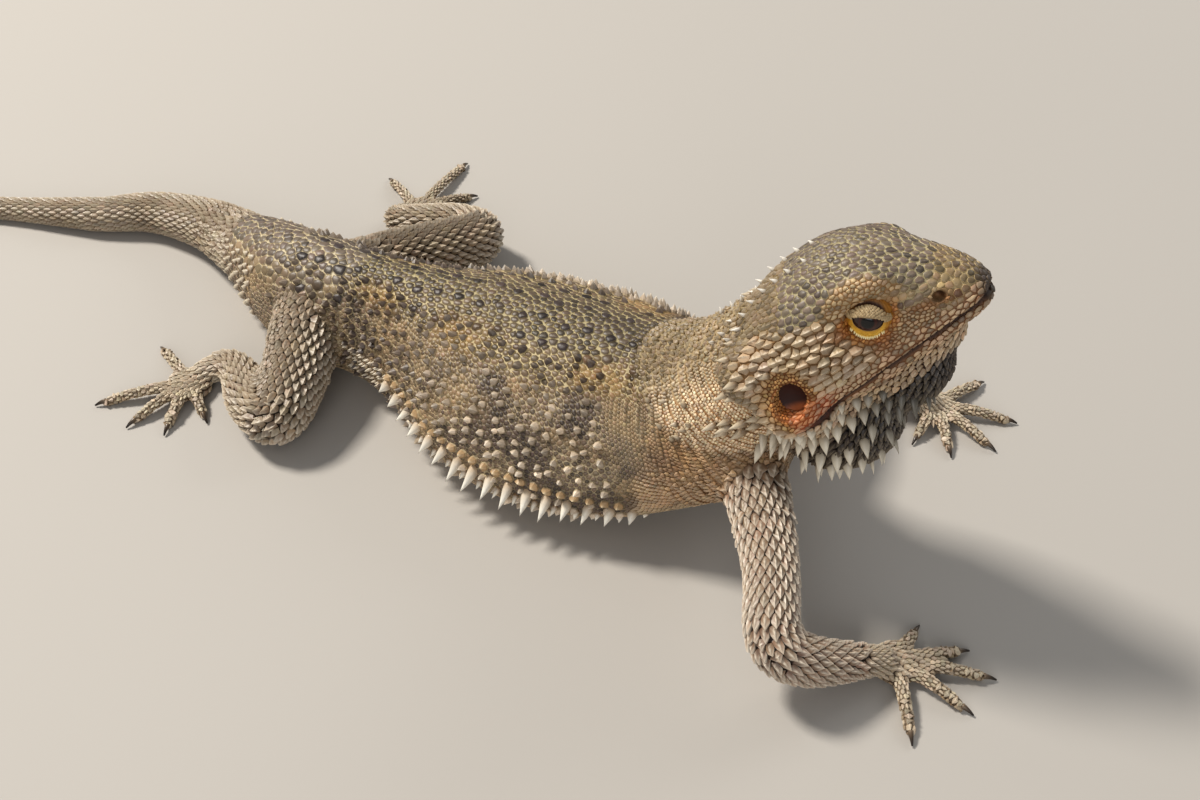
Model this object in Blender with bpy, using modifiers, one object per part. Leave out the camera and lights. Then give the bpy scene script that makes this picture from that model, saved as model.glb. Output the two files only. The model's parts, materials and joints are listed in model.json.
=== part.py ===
"""Bearded dragon, an adult at life size, still, resting on its belly with its chest and head raised.

The row frame is in metres with +Z up. +X runs along the trunk towards the head, +Y is the animal's left,
and the origin is on the floor under the middle of the belly. Places below are in millimetres in that
frame, for an animal of 245 mm from snout to vent, and MM scales them all. The flesh is modelled whole:
lofts, tubes and rounded masses that a voxel remesh joins. Cones for the large spines are added, and thin
cuts then part it into head, neck, trunk, tail and limbs.
"""

import math

import bmesh
import bpy
import numpy as np
from mathutils import Matrix, Vector
from mathutils.bvhtree import BVHTree

# ---------------------------------------------------------------- driving sizes
SNOUT_VENT = 0.245  # metres, of an adult; every other size follows it
MM = SNOUT_VENT / 245.0  # one millimetre on an animal of this size
GAP = 0.3  # between neighbouring pieces
BULK_GRAIN = 1.5  # voxel of the remesh that joins the large masses
FINE_GRAIN = 0.9  # voxel of the remesh that adds the digits and the tail's end
FLESH_TRIANGLES = 3040  # of the whole body, before it is parted
RING_SIDES = 32
FLOOR_BLOCK = (1.2, 0.6, 0.04)  # what is cut away below the floor, in metres

# ---------------------------------------------------------------- trunk, tail and neck
# Trunk sections across X: place along X, middle in Y, half width, top, bottom, height of the widest
# line, and the squareness of the section above and below that line.
TRUNK = (
    (-98.0, 11.0, 12.0, 24.0, -0.5, 11.0, 2.0, 2.2),
    (-86.0, 7.0, 15.0, 29.0, -0.5, 12.0, 2.0, 2.2),
    (-70.0, 1.5, 17.5, 34.5, -0.8, 13.0, 2.1, 2.4),
    (-52.0, 0.0, 18.0, 37.0, -1.0, 13.0, 2.1, 2.5),
    (-34.0, 0.0, 18.0, 38.5, -1.0, 12.5, 2.0, 2.6),
    (-16.0, 0.0, 24.5, 41.0, -1.2, 12.0, 1.9, 2.7),
    (2.0, 0.0, 34.5, 44.0, -1.2, 12.0, 1.85, 2.7),
    (22.0, 0.0, 39.5, 46.5, -1.2, 12.0, 1.8, 2.7),
    (42.0, 0.0, 39.0, 48.5, -0.8, 12.5, 1.8, 2.6),
    (60.0, -0.5, 33.5, 51.0, 2.0, 15.0, 1.9, 2.4),
    (76.0, -1.0, 27.0, 52.0, 8.0, 22.0, 2.0, 2.2),
    (90.0, -2.0, 21.0, 50.0, 16.0, 31.0, 2.0, 2.0),
    (100.0, -3.0, 12.0, 45.0, 25.0, 35.0, 2.0, 2.0),
)
# Tubes are rows of middle point and radius.
NECK = (
    (62.0, 0.0, 30.0, 22.0),
    (77.0, -2.0, 41.0, 21.0),
    (86.0, -4.0, 54.0, 19.0),
    (94.0, -6.0, 67.0, 17.5),
)
TAIL = (
    (-84.0, 7.0, 13.5, 12.5),
    (-104.0, 14.0, 10.6, 11.0),
    (-122.0, 17.8, 8.6, 8.9),
    (-143.5, 15.7, 6.8, 7.1),
    (-161.0, 6.0, 5.6, 5.9),
    (-191.0, -5.0, 3.8, 4.0),
    (-226.0, -19.5, 3.1, 3.4),
    (-263.0, -28.0, 2.5, 2.8),
    (-300.0, -30.0, 1.9, 2.2),
    (-334.0, -26.0, 1.4, 1.7),
    (-361.0, -17.0, 0.9, 1.2),
)

# ---------------------------------------------------------------- head, in its own frame
# Its X runs forward from the middle of the skull's rear, Y to the left, Z to the crown.
HEAD_BASE = (92.0, -6.2, 71.2)
HEAD_YAW, HEAD_PITCH, HEAD_ROLL = 10.5, 34.5, -5.0  # degrees: to the left, snout up, crown to the left
SKULL = (
    (-8.0, 0.0, 14.0, 7.5, -15.0, -3.0, 2.0, 2.0),
    (0.0, 0.0, 18.0, 14.5, -17.0, -4.0, 2.2, 2.1),
    (9.0, 0.0, 19.5, 18.5, -17.5, -4.5, 2.6, 2.2),
    (18.0, 0.0, 17.5, 21.0, -15.5, -4.0, 3.0, 2.3),
    (27.0, 0.0, 14.2, 21.0, -13.0, -3.0, 3.2, 2.4),
    (35.0, 0.0, 11.4, 18.0, -10.5, -2.0, 3.2, 2.4),
    (43.0, 0.0, 9.0, 13.0, -8.0, -1.0, 2.9, 2.3),
    (49.5, 0.0, 6.8, 8.4, -5.6, -0.5, 2.4, 2.2),
    (53.5, 0.0, 4.0, 4.0, -3.4, -0.3, 2.0, 2.0),
)
# Rounded masses of one side, as middle, radii and turn in degrees about the head's Z: brow, cheek,
# jowl and the muscle at the jaw's corner.
FACE_MASSES = (
    ((28.5, 11.2, 13.6), (9.5, 3.6, 4.0), -14.0),
    ((16.0, 14.5, 0.0), (9.0, 5.0, 6.0), -14.0),
    ((3.0, 15.5, -10.0), (10.0, 7.0, 9.0), -8.0),
    ((-5.0, 12.0, 0.0), (9.0, 9.0, 8.5), 0.0),
)
# The throat pouch that bears the beard, as middle and radii.
BEARD_MASSES = (
    ((32.0, 0.0, -9.0), (12.5, 7.5, 6.5)),
    ((22.0, 0.0, -15.0), (17.0, 10.5, 12.0)),
    ((5.0, 0.0, -24.0), (17.5, 15.0, 15.5)),
)
EYE_MIDDLE, EYE_RADIUS, EYE_SEGMENTS = (28.3, 10.3, 6.2), 5.0, 12
EAR_MIDDLE, EAR_FLOOR, EAR_RADII, EAR_TILT = (5.0, 22.0, -6.0), 17.4, (3.6, 4.3), -25.0
EARDRUM_DEPTH, EARDRUM_TAPER, EAR_REACH = 1.2, 0.8, 10.0
NOSTRIL_MIDDLE, NOSTRIL_RADII = (44.2, 8.4, 5.6), (1.1, 2.2, 0.8)
MOUTH_RISE = 16.0  # degrees by which the mouth line climbs towards the snout
MOUTH_FRONT = (52.0, 0.0, -1.2)
BEARD_DROP = 7.0  # from the mouth line down to the cut that parts the beard from the jaw
NAPE_CUT, NAPE_TILT = (-6.3, 0.0, -8.0), 10.0  # in the head frame: behind the skull, leaning forward below
SHOULDER_CUT, SHOULDER_FALL = (87.0, -2.0, 43.4), 23.6  # where the neck leaves the chest, and its slope

# ---------------------------------------------------------------- limbs
# Middle point and radius, from inside the trunk outwards, for the right (-Y) and left side.
FORELEGS = {
    "right": (
        (88.0, -9.0, 30.0, 10.5),
        (98.0, -22.0, 28.5, 8.4),
        (109.0, -39.0, 24.5, 7.0),
        (116.5, -53.5, 18.0, 6.9),
        (125.5, -51.0, 12.5, 6.4),
        (136.0, -41.5, 7.4, 4.7),
        (141.5, -36.0, 4.6, 4.3),
    ),
    "left": (
        (82.0, 8.0, 30.0, 10.5),
        (86.0, 22.0, 29.0, 8.6),
        (89.0, 39.0, 25.0, 7.2),
        (91.0, 54.0, 18.5, 7.0),
        (104.0, 58.5, 14.0, 6.2),
        (117.5, 61.0, 7.8, 4.6),
        (124.0, 61.5, 4.6, 4.2),
    ),
}
HINDLEGS = {
    "right": (
        (-58.0, -6.0, 18.0, 11.5),
        (-52.0, -20.0, 16.5, 10.6),
        (-46.5, -33.5, 13.5, 9.6),
        (-44.0, -45.5, 10.0, 8.2),
        (-55.0, -43.0, 8.6, 7.3),
        (-66.0, -34.5, 7.2, 5.8),
        (-74.0, -31.5, 5.2, 4.7),
        (-79.0, -37.0, 3.8, 4.2),
    ),
    "left": (
        (-58.0, 6.0, 18.0, 11.5),
        (-50.0, 23.0, 16.5, 10.6),
        (-40.5, 42.0, 13.8, 9.6),
        (-36.0, 56.0, 11.0, 8.4),
        (-46.0, 59.5, 9.5, 7.4),
        (-60.0, 56.5, 8.0, 5.8),
        (-69.5, 56.0, 5.6, 4.7),
        (-70.5, 62.0, 3.8, 4.2),
    ),
}
# The sole's middle and radii, and the tips of digits 1 to 5, on the floor.
FEET = {
    "hand_right": (
        (144.5, -33.5),
        (6.6, 6.6),
        ((146.0, -22.0), (157.5, -22.0), (165.5, -26.0), (163.0, -37.0), (154.0, -50.0)),
    ),
    "hand_left": (
        (125.5, 63.5),
        (6.6, 6.6),
        ((124.5, 50.0), (134.0, 50.0), (143.5, 57.0), (146.0, 69.5), (134.0, 80.0)),
    ),
    "foot_right": (
        (-80.5, -42.0),
        (7.2, 6.2),
        ((-70.0, -49.0), (-75.5, -57.5), (-85.0, -60.5), (-97.5, -59.0), (-97.0, -34.0)),
    ),
    "foot_left": (
        (-68.5, 67.0),
        (6.2, 7.2),
        ((-53.0, 69.0), (-53.0, 77.0), (-58.0, 84.0), (-69.5, 99.0), (-86.0, 78.0)),
    ),
}
DIGIT_RADIUS, DIGIT_TIP_RADIUS, DIGIT_ARCH = 2.0, 1.55, 1.6
CLAW_NARROWNESS = 0.85  # width over height
CLAW_LENGTH, CLAW_RADIUS, CLAW_SIDES, CLAW_RINGS = 3.6, 0.95, 6, 4

# ---------------------------------------------------------------- large spines
SPINE_SIDES, SPINE_TIP, SPINE_SUNK = 5, 0.12, 0.25  # sunk by this share of its length
SPINE_REACH = 80.0  # farther out than any surface that bears spines
FRINGE_SPINES, FRINGE_FROM, FRINGE_TO, FRINGE_LEVEL = 15, -20.0, 66.0, 14.0
FRINGE_LENGTH, FRINGE_SHORTEST, FRINGE_RADIUS = 7.6, 3.4, 1.3
# Rows of beard spines: degrees below the level, first and last place along the head, number, length.
BEARD_ROWS = (
    (24.0, -1.0, 19.0, 5, 4.4),
    (38.0, 1.5, 26.0, 6, 5.4),
    (54.0, 3.0, 28.0, 6, 5.2),
    (70.0, 5.0, 29.0, 5, 4.6),
)
BEARD_RADIUS, BEARD_MARGIN = 1.05, 2.0  # and the clearance of the roots from the cut above them
# Spines behind the temple and over the ear: place along the head, degrees above the level, length.
TEMPLE_SPINES = (
    (-4.0, 62.0, 2.6),
    (-4.5, 46.0, 3.2),
    (-4.0, 32.0, 3.6),
    (-3.0, 17.0, 4.2),
    (-1.0, 6.0, 4.6),
    (-4.0, -4.0, 4.6),
)
JAW_SPINES = ((9.0, -19.0, 4.0), (4.0, -22.0, 5.0), (-1.0, -25.0, 5.4))
TEMPLE_RADIUS = 0.95

# ---------------------------------------------------------------- thin cuts, as places along each row
TAIL_CUTS = ((0.3, 1.6), (3.0, 1.5), (5.5, 1.5), (8.0, 1.5))  # and half side of the cut, in radii
TAIL_NODES = ("tail_root", "tail_front", "tail_middle", "tail_tip")
TAIL_SEEDS = (1.6, 4.2, 6.8, 9.0)
FORELEG_CUTS, FORELEG_SEEDS = ((1.25, 1.7), (3.1, 1.8), (5.7, 1.6)), (2.1, 4.3)
HINDLEG_CUTS, HINDLEG_SEEDS = ((1.5, 1.6), (3.0, 2.6), (6.1, 1.8)), (2.3, 4.8)


# ---------------------------------------------------------------- small geometry
def blended(rows, steps):
    """Rows of numbers with smooth Catmull-Rom steps between each pair."""
    rows = np.array(rows, float)
    padded = np.vstack([2 * rows[0] - rows[1], rows, 2 * rows[-1] - rows[-2]])
    result = []
    for k in range(1, len(padded) - 2):
        a, b, c, d = padded[k - 1 : k + 3]
        for t in np.arange(steps) / steps:
            bend = (2 * a - 5 * b + 4 * c - d) * t**2 + (3 * b - a - 3 * c + d) * t**3
            result.append(0.5 * (2 * b + (c - a) * t + bend))
    result.append(rows[-1])
    return np.array(result)


def section(middle, half_width, top, bottom, level, top_power, low_power):
    """A closed ring in the YZ plane: a superellipse whose upper and lower halves differ."""
    points = []
    for angle in (math.tau * k / RING_SIDES for k in range(RING_SIDES)):
        across, upward = math.cos(angle), math.sin(angle)
        power = top_power if upward >= 0 else low_power
        reach = top - level if upward >= 0 else level - bottom
        y = middle + half_width * math.copysign(abs(across) ** (2 / power), across)
        points.append((y, level + reach * math.copysign(abs(upward) ** (2 / power), upward)))
    return points


def head_matrix():
    """From the head's own frame to the row frame, in millimetres."""
    turn = Matrix.Rotation(math.radians(HEAD_YAW), 4, "Z")
    turn = turn @ Matrix.Rotation(math.radians(-HEAD_PITCH), 4, "Y")
    turn = turn @ Matrix.Rotation(math.radians(HEAD_ROLL), 4, "X")
    return Matrix.Translation(HEAD_BASE) @ turn


def add_object(name, mesh, collection):
    obj = bpy.data.objects.new(name, mesh)
    collection.objects.link(obj)
    return obj


def add_rings(bm, rings):
    """A closed tube through rings of equal length, with flat ends."""
    loops = [[bm.verts.new(Vector(point) * MM) for point in ring] for ring in rings]
    count = len(loops[0])
    for near, far in zip(loops, loops[1:]):
        for k in range(count):
            bm.faces.new((near[k], near[(k + 1) % count], far[(k + 1) % count], far[k]))
    bm.faces.new(loops[0][::-1])
    bm.faces.new(loops[-1])


def add_tube(bm, rows, steps=5, sides=20):
    """A round tube through rows of middle and radius, with rounded ends."""
    path = blended(rows, steps).tolist()
    rings = []
    for k, row in enumerate(path):
        ahead = Vector(path[min(k + 1, len(path) - 1)][:3]) - Vector(path[max(k - 1, 0)][:3])
        ahead.normalize()
        across = ahead.cross(Vector((0, 0, 1))).normalized()
        upward = across.cross(ahead)
        ring = []
        for angle in (math.tau * k / sides for k in range(sides)):
            ring.append(Vector(row[:3]) + row[3] * (math.cos(angle) * across + math.sin(angle) * upward))
        rings.append(ring)
    add_rings(bm, rings)
    for row in (path[0], path[-1]):
        add_ellipsoid(bm, row[:3], (row[3],) * 3)


def add_ellipsoid(bm, middle, radii, frame=Matrix(), turn=0.0, segments=24):
    place = frame @ Matrix.Translation(Vector(middle)) @ Matrix.Rotation(math.radians(turn), 4, "Z")
    place = Matrix.Scale(MM, 4) @ place @ Matrix.Diagonal((*radii, 1.0))
    bmesh.ops.create_uvsphere(bm, u_segments=segments, v_segments=segments // 2, radius=1.0, matrix=place)


def add_cone(bm, place, top, base=1.0, segments=16):
    """A cone along the place's own Z, one long, whose ends have these radii before the place scales them."""
    place = Matrix.Scale(MM, 4) @ place
    bmesh.ops.create_cone(
        bm, cap_ends=True, segments=segments, radius1=base, radius2=top, depth=1.0, matrix=place
    )


def finished(bm, name):
    """The bmesh as a mesh whose faces point out."""
    bmesh.ops.recalc_face_normals(bm, faces=bm.faces[:])
    mesh = bpy.data.meshes.new(name)
    bm.to_mesh(mesh)
    bm.free()
    return mesh


def applied(obj, collection):
    """A plain object with the shape that this one's modifiers give; the first is removed."""
    graph = bpy.context.evaluated_depsgraph_get()
    mesh = bpy.data.meshes.new_from_object(obj.evaluated_get(graph))
    name = obj.name
    bpy.data.objects.remove(obj)
    return add_object(name, mesh, collection)


# ---------------------------------------------------------------- flesh
def add_trunk(bm):
    rings = []
    for row in blended(TRUNK, 5).tolist():
        rings.append([(row[0], y, z) for y, z in section(*row[1:])])
    add_rings(bm, rings)


def add_head(bm):
    frame = head_matrix()
    rings = []
    for row in blended(SKULL, 5).tolist():
        rings.append([frame @ Vector((row[0], y, z)) for y, z in section(*row[1:])])
    add_rings(bm, rings)
    for side in (-1, 1):
        for (x, y, z), radii, turn in FACE_MASSES:
            add_ellipsoid(bm, (x, side * y, z), radii, frame, side * turn)
    for middle, radii in BEARD_MASSES:
        add_ellipsoid(bm, middle, radii, frame)


def add_digits(bm, foot):
    """The sole, and digits that leave it for their tips with a low arch."""
    (x, y), (long, wide), tips = FEET[foot]
    add_ellipsoid(bm, (x, y, 2.2), (long, wide, 3.1))
    for tip in tips:
        add_tube(bm, digit_rows(x, y, tip), steps=4, sides=10)


def digit_rows(x, y, tip):
    """A digit's middle line and radii, from inside the sole to its tip."""
    root = Vector((x, y, 2.2))
    end = Vector((*tip, DIGIT_TIP_RADIUS - 0.15))
    root += (end - root).normalized() * 3.0
    rows = []
    for t in (0.0, 0.33, 0.66, 1.0):
        middle = root.lerp(end, t)
        middle.z += DIGIT_ARCH * math.sin(math.pi * t) * (1 - 0.4 * t)
        rows.append((*middle, DIGIT_RADIUS + (DIGIT_TIP_RADIUS - DIGIT_RADIUS) * t))
    return rows


def remeshed(obj, collection, grain, rounds):
    """The joined surface of all the object's overlapping shapes, smoothed."""
    remesh = obj.modifiers.new("Join", "REMESH")
    remesh.mode = "VOXEL"
    remesh.voxel_size = grain * MM
    smooth = obj.modifiers.new("Fillet", "SMOOTH")
    smooth.factor = 0.5
    smooth.iterations = rounds
    return applied(obj, collection)


def flesh(collection):
    """The whole body as one mesh."""
    bm = bmesh.new()
    add_trunk(bm)
    add_head(bm)
    add_tube(bm, NECK)
    add_tube(bm, TAIL[:6])
    for rows in (*FORELEGS.values(), *HINDLEGS.values()):
        add_tube(bm, rows)
    bulk = remeshed(add_object("Bulk", finished(bm, "Bulk"), collection), collection, BULK_GRAIN, 9)
    bm = bmesh.new()
    add_tube(bm, TAIL[4:])
    for foot in FEET:
        add_digits(bm, foot)
    bm.from_mesh(bulk.data)
    bpy.data.objects.remove(bulk)
    body = add_object("Flesh", finished(bm, "Flesh"), collection)
    body = remeshed(body, collection, FINE_GRAIN, 3)
    thin = body.modifiers.new("Thin", "DECIMATE")
    thin.ratio = FLESH_TRIANGLES / (2.0 * len(body.data.polygons))
    thin.use_collapse_triangulate = True
    return applied(body, collection)


# ---------------------------------------------------------------- openings and claws
def claw_rows(foot, tip, grow=0.0):
    """A claw's middle line and radii: out of the digit's tip, curving down to the floor."""
    x, y = FEET[foot][0]
    ahead = (Vector((*tip, 0.0)) - Vector((x, y, 0.0))).normalized()
    start = Vector((*tip, DIGIT_TIP_RADIUS + 0.1)) + ahead * (0.7 - grow)
    rows = []
    for t in np.linspace(0.0, 1.0, CLAW_RINGS).tolist():
        middle = start + ahead * (CLAW_LENGTH * t)
        middle.z -= 1.05 * t * t
        rows.append((*middle, CLAW_RADIUS * (1.0 - 0.72 * t) + grow))
    return rows


def add_claw(bm, rows):
    rings = []
    ahead = (Vector(rows[-1][:3]) - Vector(rows[0][:3])).normalized()
    across = ahead.cross(Vector((0, 0, 1))).normalized()
    upward = across.cross(ahead)
    for row in rows:
        ring = []
        for k in range(CLAW_SIDES):
            angle = math.tau * k / CLAW_SIDES
            offset = CLAW_NARROWNESS * math.cos(angle) * across + math.sin(angle) * upward
            ring.append(Vector(row[:3]) + row[3] * offset)
        rings.append(ring)
    add_rings(bm, rings)


def claws(collection):
    for foot, (_, _, tips) in FEET.items():
        for digit, tip in enumerate(tips, 1):
            bm = bmesh.new()
            add_claw(bm, claw_rows(foot, tip))
            name = f"claw_{foot}_{digit}"
            add_object(name, finished(bm, name), collection)


def ear_frame(side, depth):
    """A frame on the side of the head whose Z points out, at this distance from the middle plane."""
    x, _, z = EAR_MIDDLE
    place = head_matrix() @ Matrix.Translation((x, side * depth, z))
    tilt = Matrix.Rotation(math.radians(-side * EAR_TILT), 4, "Z")
    return place @ Matrix.Rotation(math.radians(-90.0 * side), 4, "X") @ tilt


def openings(collection):
    """Cutters for the eye sockets, the ears, the nostrils and the claws' roots."""
    bm = bmesh.new()
    frame = head_matrix()
    for side in (-1, 1):
        x, y, z = EYE_MIDDLE
        add_ellipsoid(bm, (x, side * y, z), (EYE_RADIUS + GAP,) * 3, frame, segments=EYE_SEGMENTS)
        x, y, z = NOSTRIL_MIDDLE
        add_ellipsoid(bm, (x, side * y, z), NOSTRIL_RADII, frame, segments=8)
        place = ear_frame(side, EAR_FLOOR) @ Matrix.Translation((0, 0, EAR_REACH / 2))
        add_cone(bm, place @ Matrix.Diagonal((*EAR_RADII, EAR_REACH, 1.0)), 1.0)
    for foot, (_, _, tips) in FEET.items():
        for tip in tips:
            add_claw(bm, claw_rows(foot, tip, GAP))
    return helper(add_object("Openings", finished(bm, "Openings"), collection))


def floor_block(collection):
    """All that would sink below the floor is cut off flat."""
    bm = bmesh.new()
    long, wide, deep = FLOOR_BLOCK
    place = Matrix.Translation((0.0, 0.0, -deep / 2)) @ Matrix.Diagonal((long, wide, deep, 1.0))
    bmesh.ops.create_cube(bm, size=1.0, matrix=place)
    return helper(add_object("Floor block", finished(bm, "Floor block"), collection))


def helper(obj):
    obj.hide_render = True
    obj.display_type = "WIRE"
    return obj


def cut(obj, cutter):
    modifier = obj.modifiers.new(cutter.name, "BOOLEAN")
    modifier.operation = "DIFFERENCE"
    modifier.object = cutter


def eyes_and_eardrums(collection):
    for side, name in ((-1, "right"), (1, "left")):
        x, y, z = EYE_MIDDLE
        bm = bmesh.new()
        add_ellipsoid(bm, (x, side * y, z), (EYE_RADIUS,) * 3, head_matrix(), segments=EYE_SEGMENTS)
        add_object(f"eye_{name}", finished(bm, f"eye_{name}"), collection)
        bm = bmesh.new()
        long, wide = EAR_RADII[0] - GAP, EAR_RADII[1] - GAP
        place = ear_frame(side, EAR_FLOOR + GAP + EARDRUM_DEPTH / 2)
        add_cone(bm, place @ Matrix.Diagonal((long, wide, EARDRUM_DEPTH, 1.0)), EARDRUM_TAPER)
        add_object(f"eardrum_{name}", finished(bm, f"eardrum_{name}"), collection)


# ---------------------------------------------------------------- parting
def slab(name, middle, normal, half_across, half_up, collection):
    """A cutter as thin as the gap between pieces; its long side lies across, its other side upwards."""
    normal = Vector(normal).normalized()
    across = normal.cross(Vector((0, 0, 1))).normalized()
    turn = Matrix((across, normal.cross(across), normal)).transposed().to_4x4()
    place = Matrix.Scale(MM, 4) @ Matrix.Translation(Vector(middle)) @ turn
    bm = bmesh.new()
    size = Matrix.Diagonal((2 * half_across, 2 * half_up, GAP, 1.0))
    bmesh.ops.create_cube(bm, size=1.0, matrix=place @ size)
    return helper(add_object(name, finished(bm, name), collection))


def along(rows, place):
    """Middle, direction and radius at a place along a row, where 1.5 is halfway from row 1 to row 2."""
    path = blended(rows, 10)
    k = min(int(round(place * 10)), len(path) - 2)
    ahead = Vector((path[k + 1] - path[max(k - 1, 0)]).tolist()[:3])
    return Vector(path[k].tolist()[:3]), ahead, float(path[k][3])


def mouth_point(x, drop=0.0):
    """In the head frame, the height of the mouth line at x, less the drop."""
    slope = math.tan(math.radians(MOUTH_RISE))
    return Vector((x, 0.0, MOUTH_FRONT[2] - slope * (MOUTH_FRONT[0] - x) - drop))


def below_mouth(point):
    """How far the point lies below the mouth line, up the head's own Z."""
    place = head_matrix().inverted() @ point
    return mouth_point(place.x).z - place.z


def cuts(collection):
    made = []
    tubes = [(TAIL, TAIL_CUTS)]
    tubes += [(rows, FORELEG_CUTS) for rows in FORELEGS.values()]
    tubes += [(rows, HINDLEG_CUTS) for rows in HINDLEGS.values()]
    for rows, places in tubes:
        for place, reach in places:
            middle, ahead, radius = along(rows, place)
            reach *= radius
            made.append(slab(f"Cut {len(made)}", middle, ahead, reach, reach, collection))
    frame = head_matrix()
    turn = frame.to_3x3()
    rise = math.radians(MOUTH_RISE)
    across_mouth = turn @ Vector((-math.sin(rise), 0.0, math.cos(rise)))
    tilt = math.radians(NAPE_TILT)
    made.append(slab("Mouth", frame @ mouth_point(26.0), across_mouth, 32.0, 34.0, collection))
    above_beard = frame @ mouth_point(20.0, BEARD_DROP)
    made.append(slab("Beard top", above_beard, across_mouth, 25.0, 31.0, collection))
    behind = turn @ Vector((math.cos(tilt), 0.0, math.sin(tilt)))
    made.append(slab("Nape", frame @ Vector(NAPE_CUT), behind, 30.0, 33.0, collection))
    fall = math.radians(SHOULDER_FALL)
    up_neck = (math.sin(fall), 0.0, math.cos(fall))
    made.append(slab("Shoulders", SHOULDER_CUT, up_neck, 27.0, 29.0, collection))
    return made


def seeds():
    """A point inside each piece of flesh, by node name."""
    frame = head_matrix()
    found = {
        "head": frame @ Vector((20.0, 0.0, 5.0)),
        "lower_jaw": frame @ mouth_point(14.0, 3.0),
        "beard": frame @ mouth_point(10.0, BEARD_DROP + 5.0),
        "neck": Vector((84.0, -4.0, 54.0)),
        "trunk": Vector((20.0, 0.0, 20.0)),
    }
    for node, place in zip(TAIL_NODES, TAIL_SEEDS):
        found[node] = along(TAIL, place)[0]
    for side in ("right", "left"):
        for node, place in zip(("upper_arm", "forearm"), FORELEG_SEEDS):
            found[f"{node}_{side}"] = along(FORELEGS[side], place)[0]
        for node, place in zip(("thigh", "shank"), HINDLEG_SEEDS):
            found[f"{node}_{side}"] = along(HINDLEGS[side], place)[0]
        for foot in (f"hand_{side}", f"foot_{side}"):
            found[foot] = Vector((*FEET[foot][0], 2.5))
    return found


def islands(bm):
    """The lists of faces that hang together."""
    left = dict.fromkeys(bm.faces)
    while left:
        queue = [left.popitem()[0]]
        group = []
        while queue:
            face = queue.pop()
            group.append(face)
            for edge in face.edges:
                for other in edge.link_faces:
                    if other in left:
                        del left[other]
                        queue.append(other)
        yield group


def contains(tree, point):
    """Whether a ray from the point crosses the closed surface an odd number of times."""
    ahead = Vector((0.0123, 0.0456, 1.0)).normalized()
    crossings, start = 0, point.copy()
    while True:
        hit = tree.ray_cast(start, ahead)[0]
        if hit is None:
            return crossings % 2 == 1
        crossings += 1
        start = hit + ahead * 1e-6


def parted(body, collection):
    """The pieces that the cuts leave, each its own object named by the seed inside it."""
    bm = bmesh.new()
    bm.from_mesh(body.data)
    bmesh.ops.triangulate(bm, faces=bm.faces[:])
    places, pieces = seeds(), {}
    for group in islands(bm):
        numbers = {v: k for k, v in enumerate(dict.fromkeys(v for face in group for v in face.verts))}
        points = [v.co for v in numbers]
        faces = [[numbers[v] for v in face.verts] for face in group]
        mesh = bpy.data.meshes.new("Piece")
        mesh.from_pydata(points, [], faces)
        tree = BVHTree.FromPolygons(points, faces)
        inside = [name for name, place in places.items() if contains(tree, place * MM)]
        if len(inside) == 1:
            pieces[inside[0]] = add_object(inside[0], mesh, collection)
    bm.free()
    bpy.data.objects.remove(body)
    return pieces


# ---------------------------------------------------------------- spines
def add_spine(bm, root, ahead, length, radius):
    """A cone whose base is sunk a little below the root."""
    ahead = ahead.normalized()
    turn = ahead.to_track_quat("Z", "Y").to_matrix().to_4x4()
    sunk = SPINE_SUNK * length
    middle = root + ahead * ((length - sunk) / 2)
    place = Matrix.Translation(middle) @ turn @ Matrix.Diagonal((1.0, 1.0, length + sunk, 1.0))
    add_cone(bm, place, SPINE_TIP, radius, SPINE_SIDES)


def surface(node, start, ahead):
    """The outermost point of the node on a ray from the start, in millimetres, and the normal there."""
    tree = BVHTree.FromObject(node, bpy.context.evaluated_depsgraph_get())
    ahead = Vector(ahead)
    hit, normal, _, _ = tree.ray_cast((Vector(start) + SPINE_REACH * ahead) * MM, -ahead, SPINE_REACH * MM)
    return (None, None) if hit is None else (hit / MM, normal)


def grow(node, bm, collection):
    """Joins the spines to the node."""
    spines = helper(add_object(f"{node.name} spines", finished(bm, f"{node.name} spines"), collection))
    modifier = node.modifiers.new("Spines", "BOOLEAN")
    modifier.operation = "UNION"
    modifier.use_self = True
    modifier.object = spines


def fringe(trunk, collection):
    bm = bmesh.new()
    for side in (-1, 1):
        for k in range(FRINGE_SPINES):
            t = k / (FRINGE_SPINES - 1)
            x = FRINGE_FROM + (FRINGE_TO - FRINGE_FROM) * t
            root, _ = surface(trunk, (x, 0.0, FRINGE_LEVEL), (0.0, side, 0.0))
            length = FRINGE_SHORTEST + (FRINGE_LENGTH - FRINGE_SHORTEST) * math.sin(math.pi * t**1.3)
            add_spine(bm, root, Vector((-0.45 - 0.4 * (1 - t), side, -0.25)), length, FRINGE_RADIUS)
    grow(trunk, bm, collection)


def head_ray(node, x, degrees, side):
    """The point and normal where a ray square to the head's long axis leaves the node."""
    frame, angle = head_matrix(), math.radians(degrees)
    start = frame @ Vector((x, 0.0, -11.0 if degrees < 0 else -3.0))
    ahead = frame.to_3x3() @ Vector((0.0, side * math.cos(angle), math.sin(angle)))
    return surface(node, start, ahead)


def beard_spines(beard, collection):
    bm = bmesh.new()
    back = head_matrix().to_3x3() @ Vector((-0.75, 0.0, -0.35))
    for side in (-1, 1):
        for degrees, first, last, number, length in BEARD_ROWS:
            for k in range(number):
                x = first + (last - first) * k / (number - 1)
                root, normal = head_ray(beard, x, -degrees, side)
                if root is not None and below_mouth(root) > BEARD_DROP + BEARD_MARGIN:
                    add_spine(bm, root, normal + back, length * (1 - 0.25 * k / number), BEARD_RADIUS)
    grow(beard, bm, collection)


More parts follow.
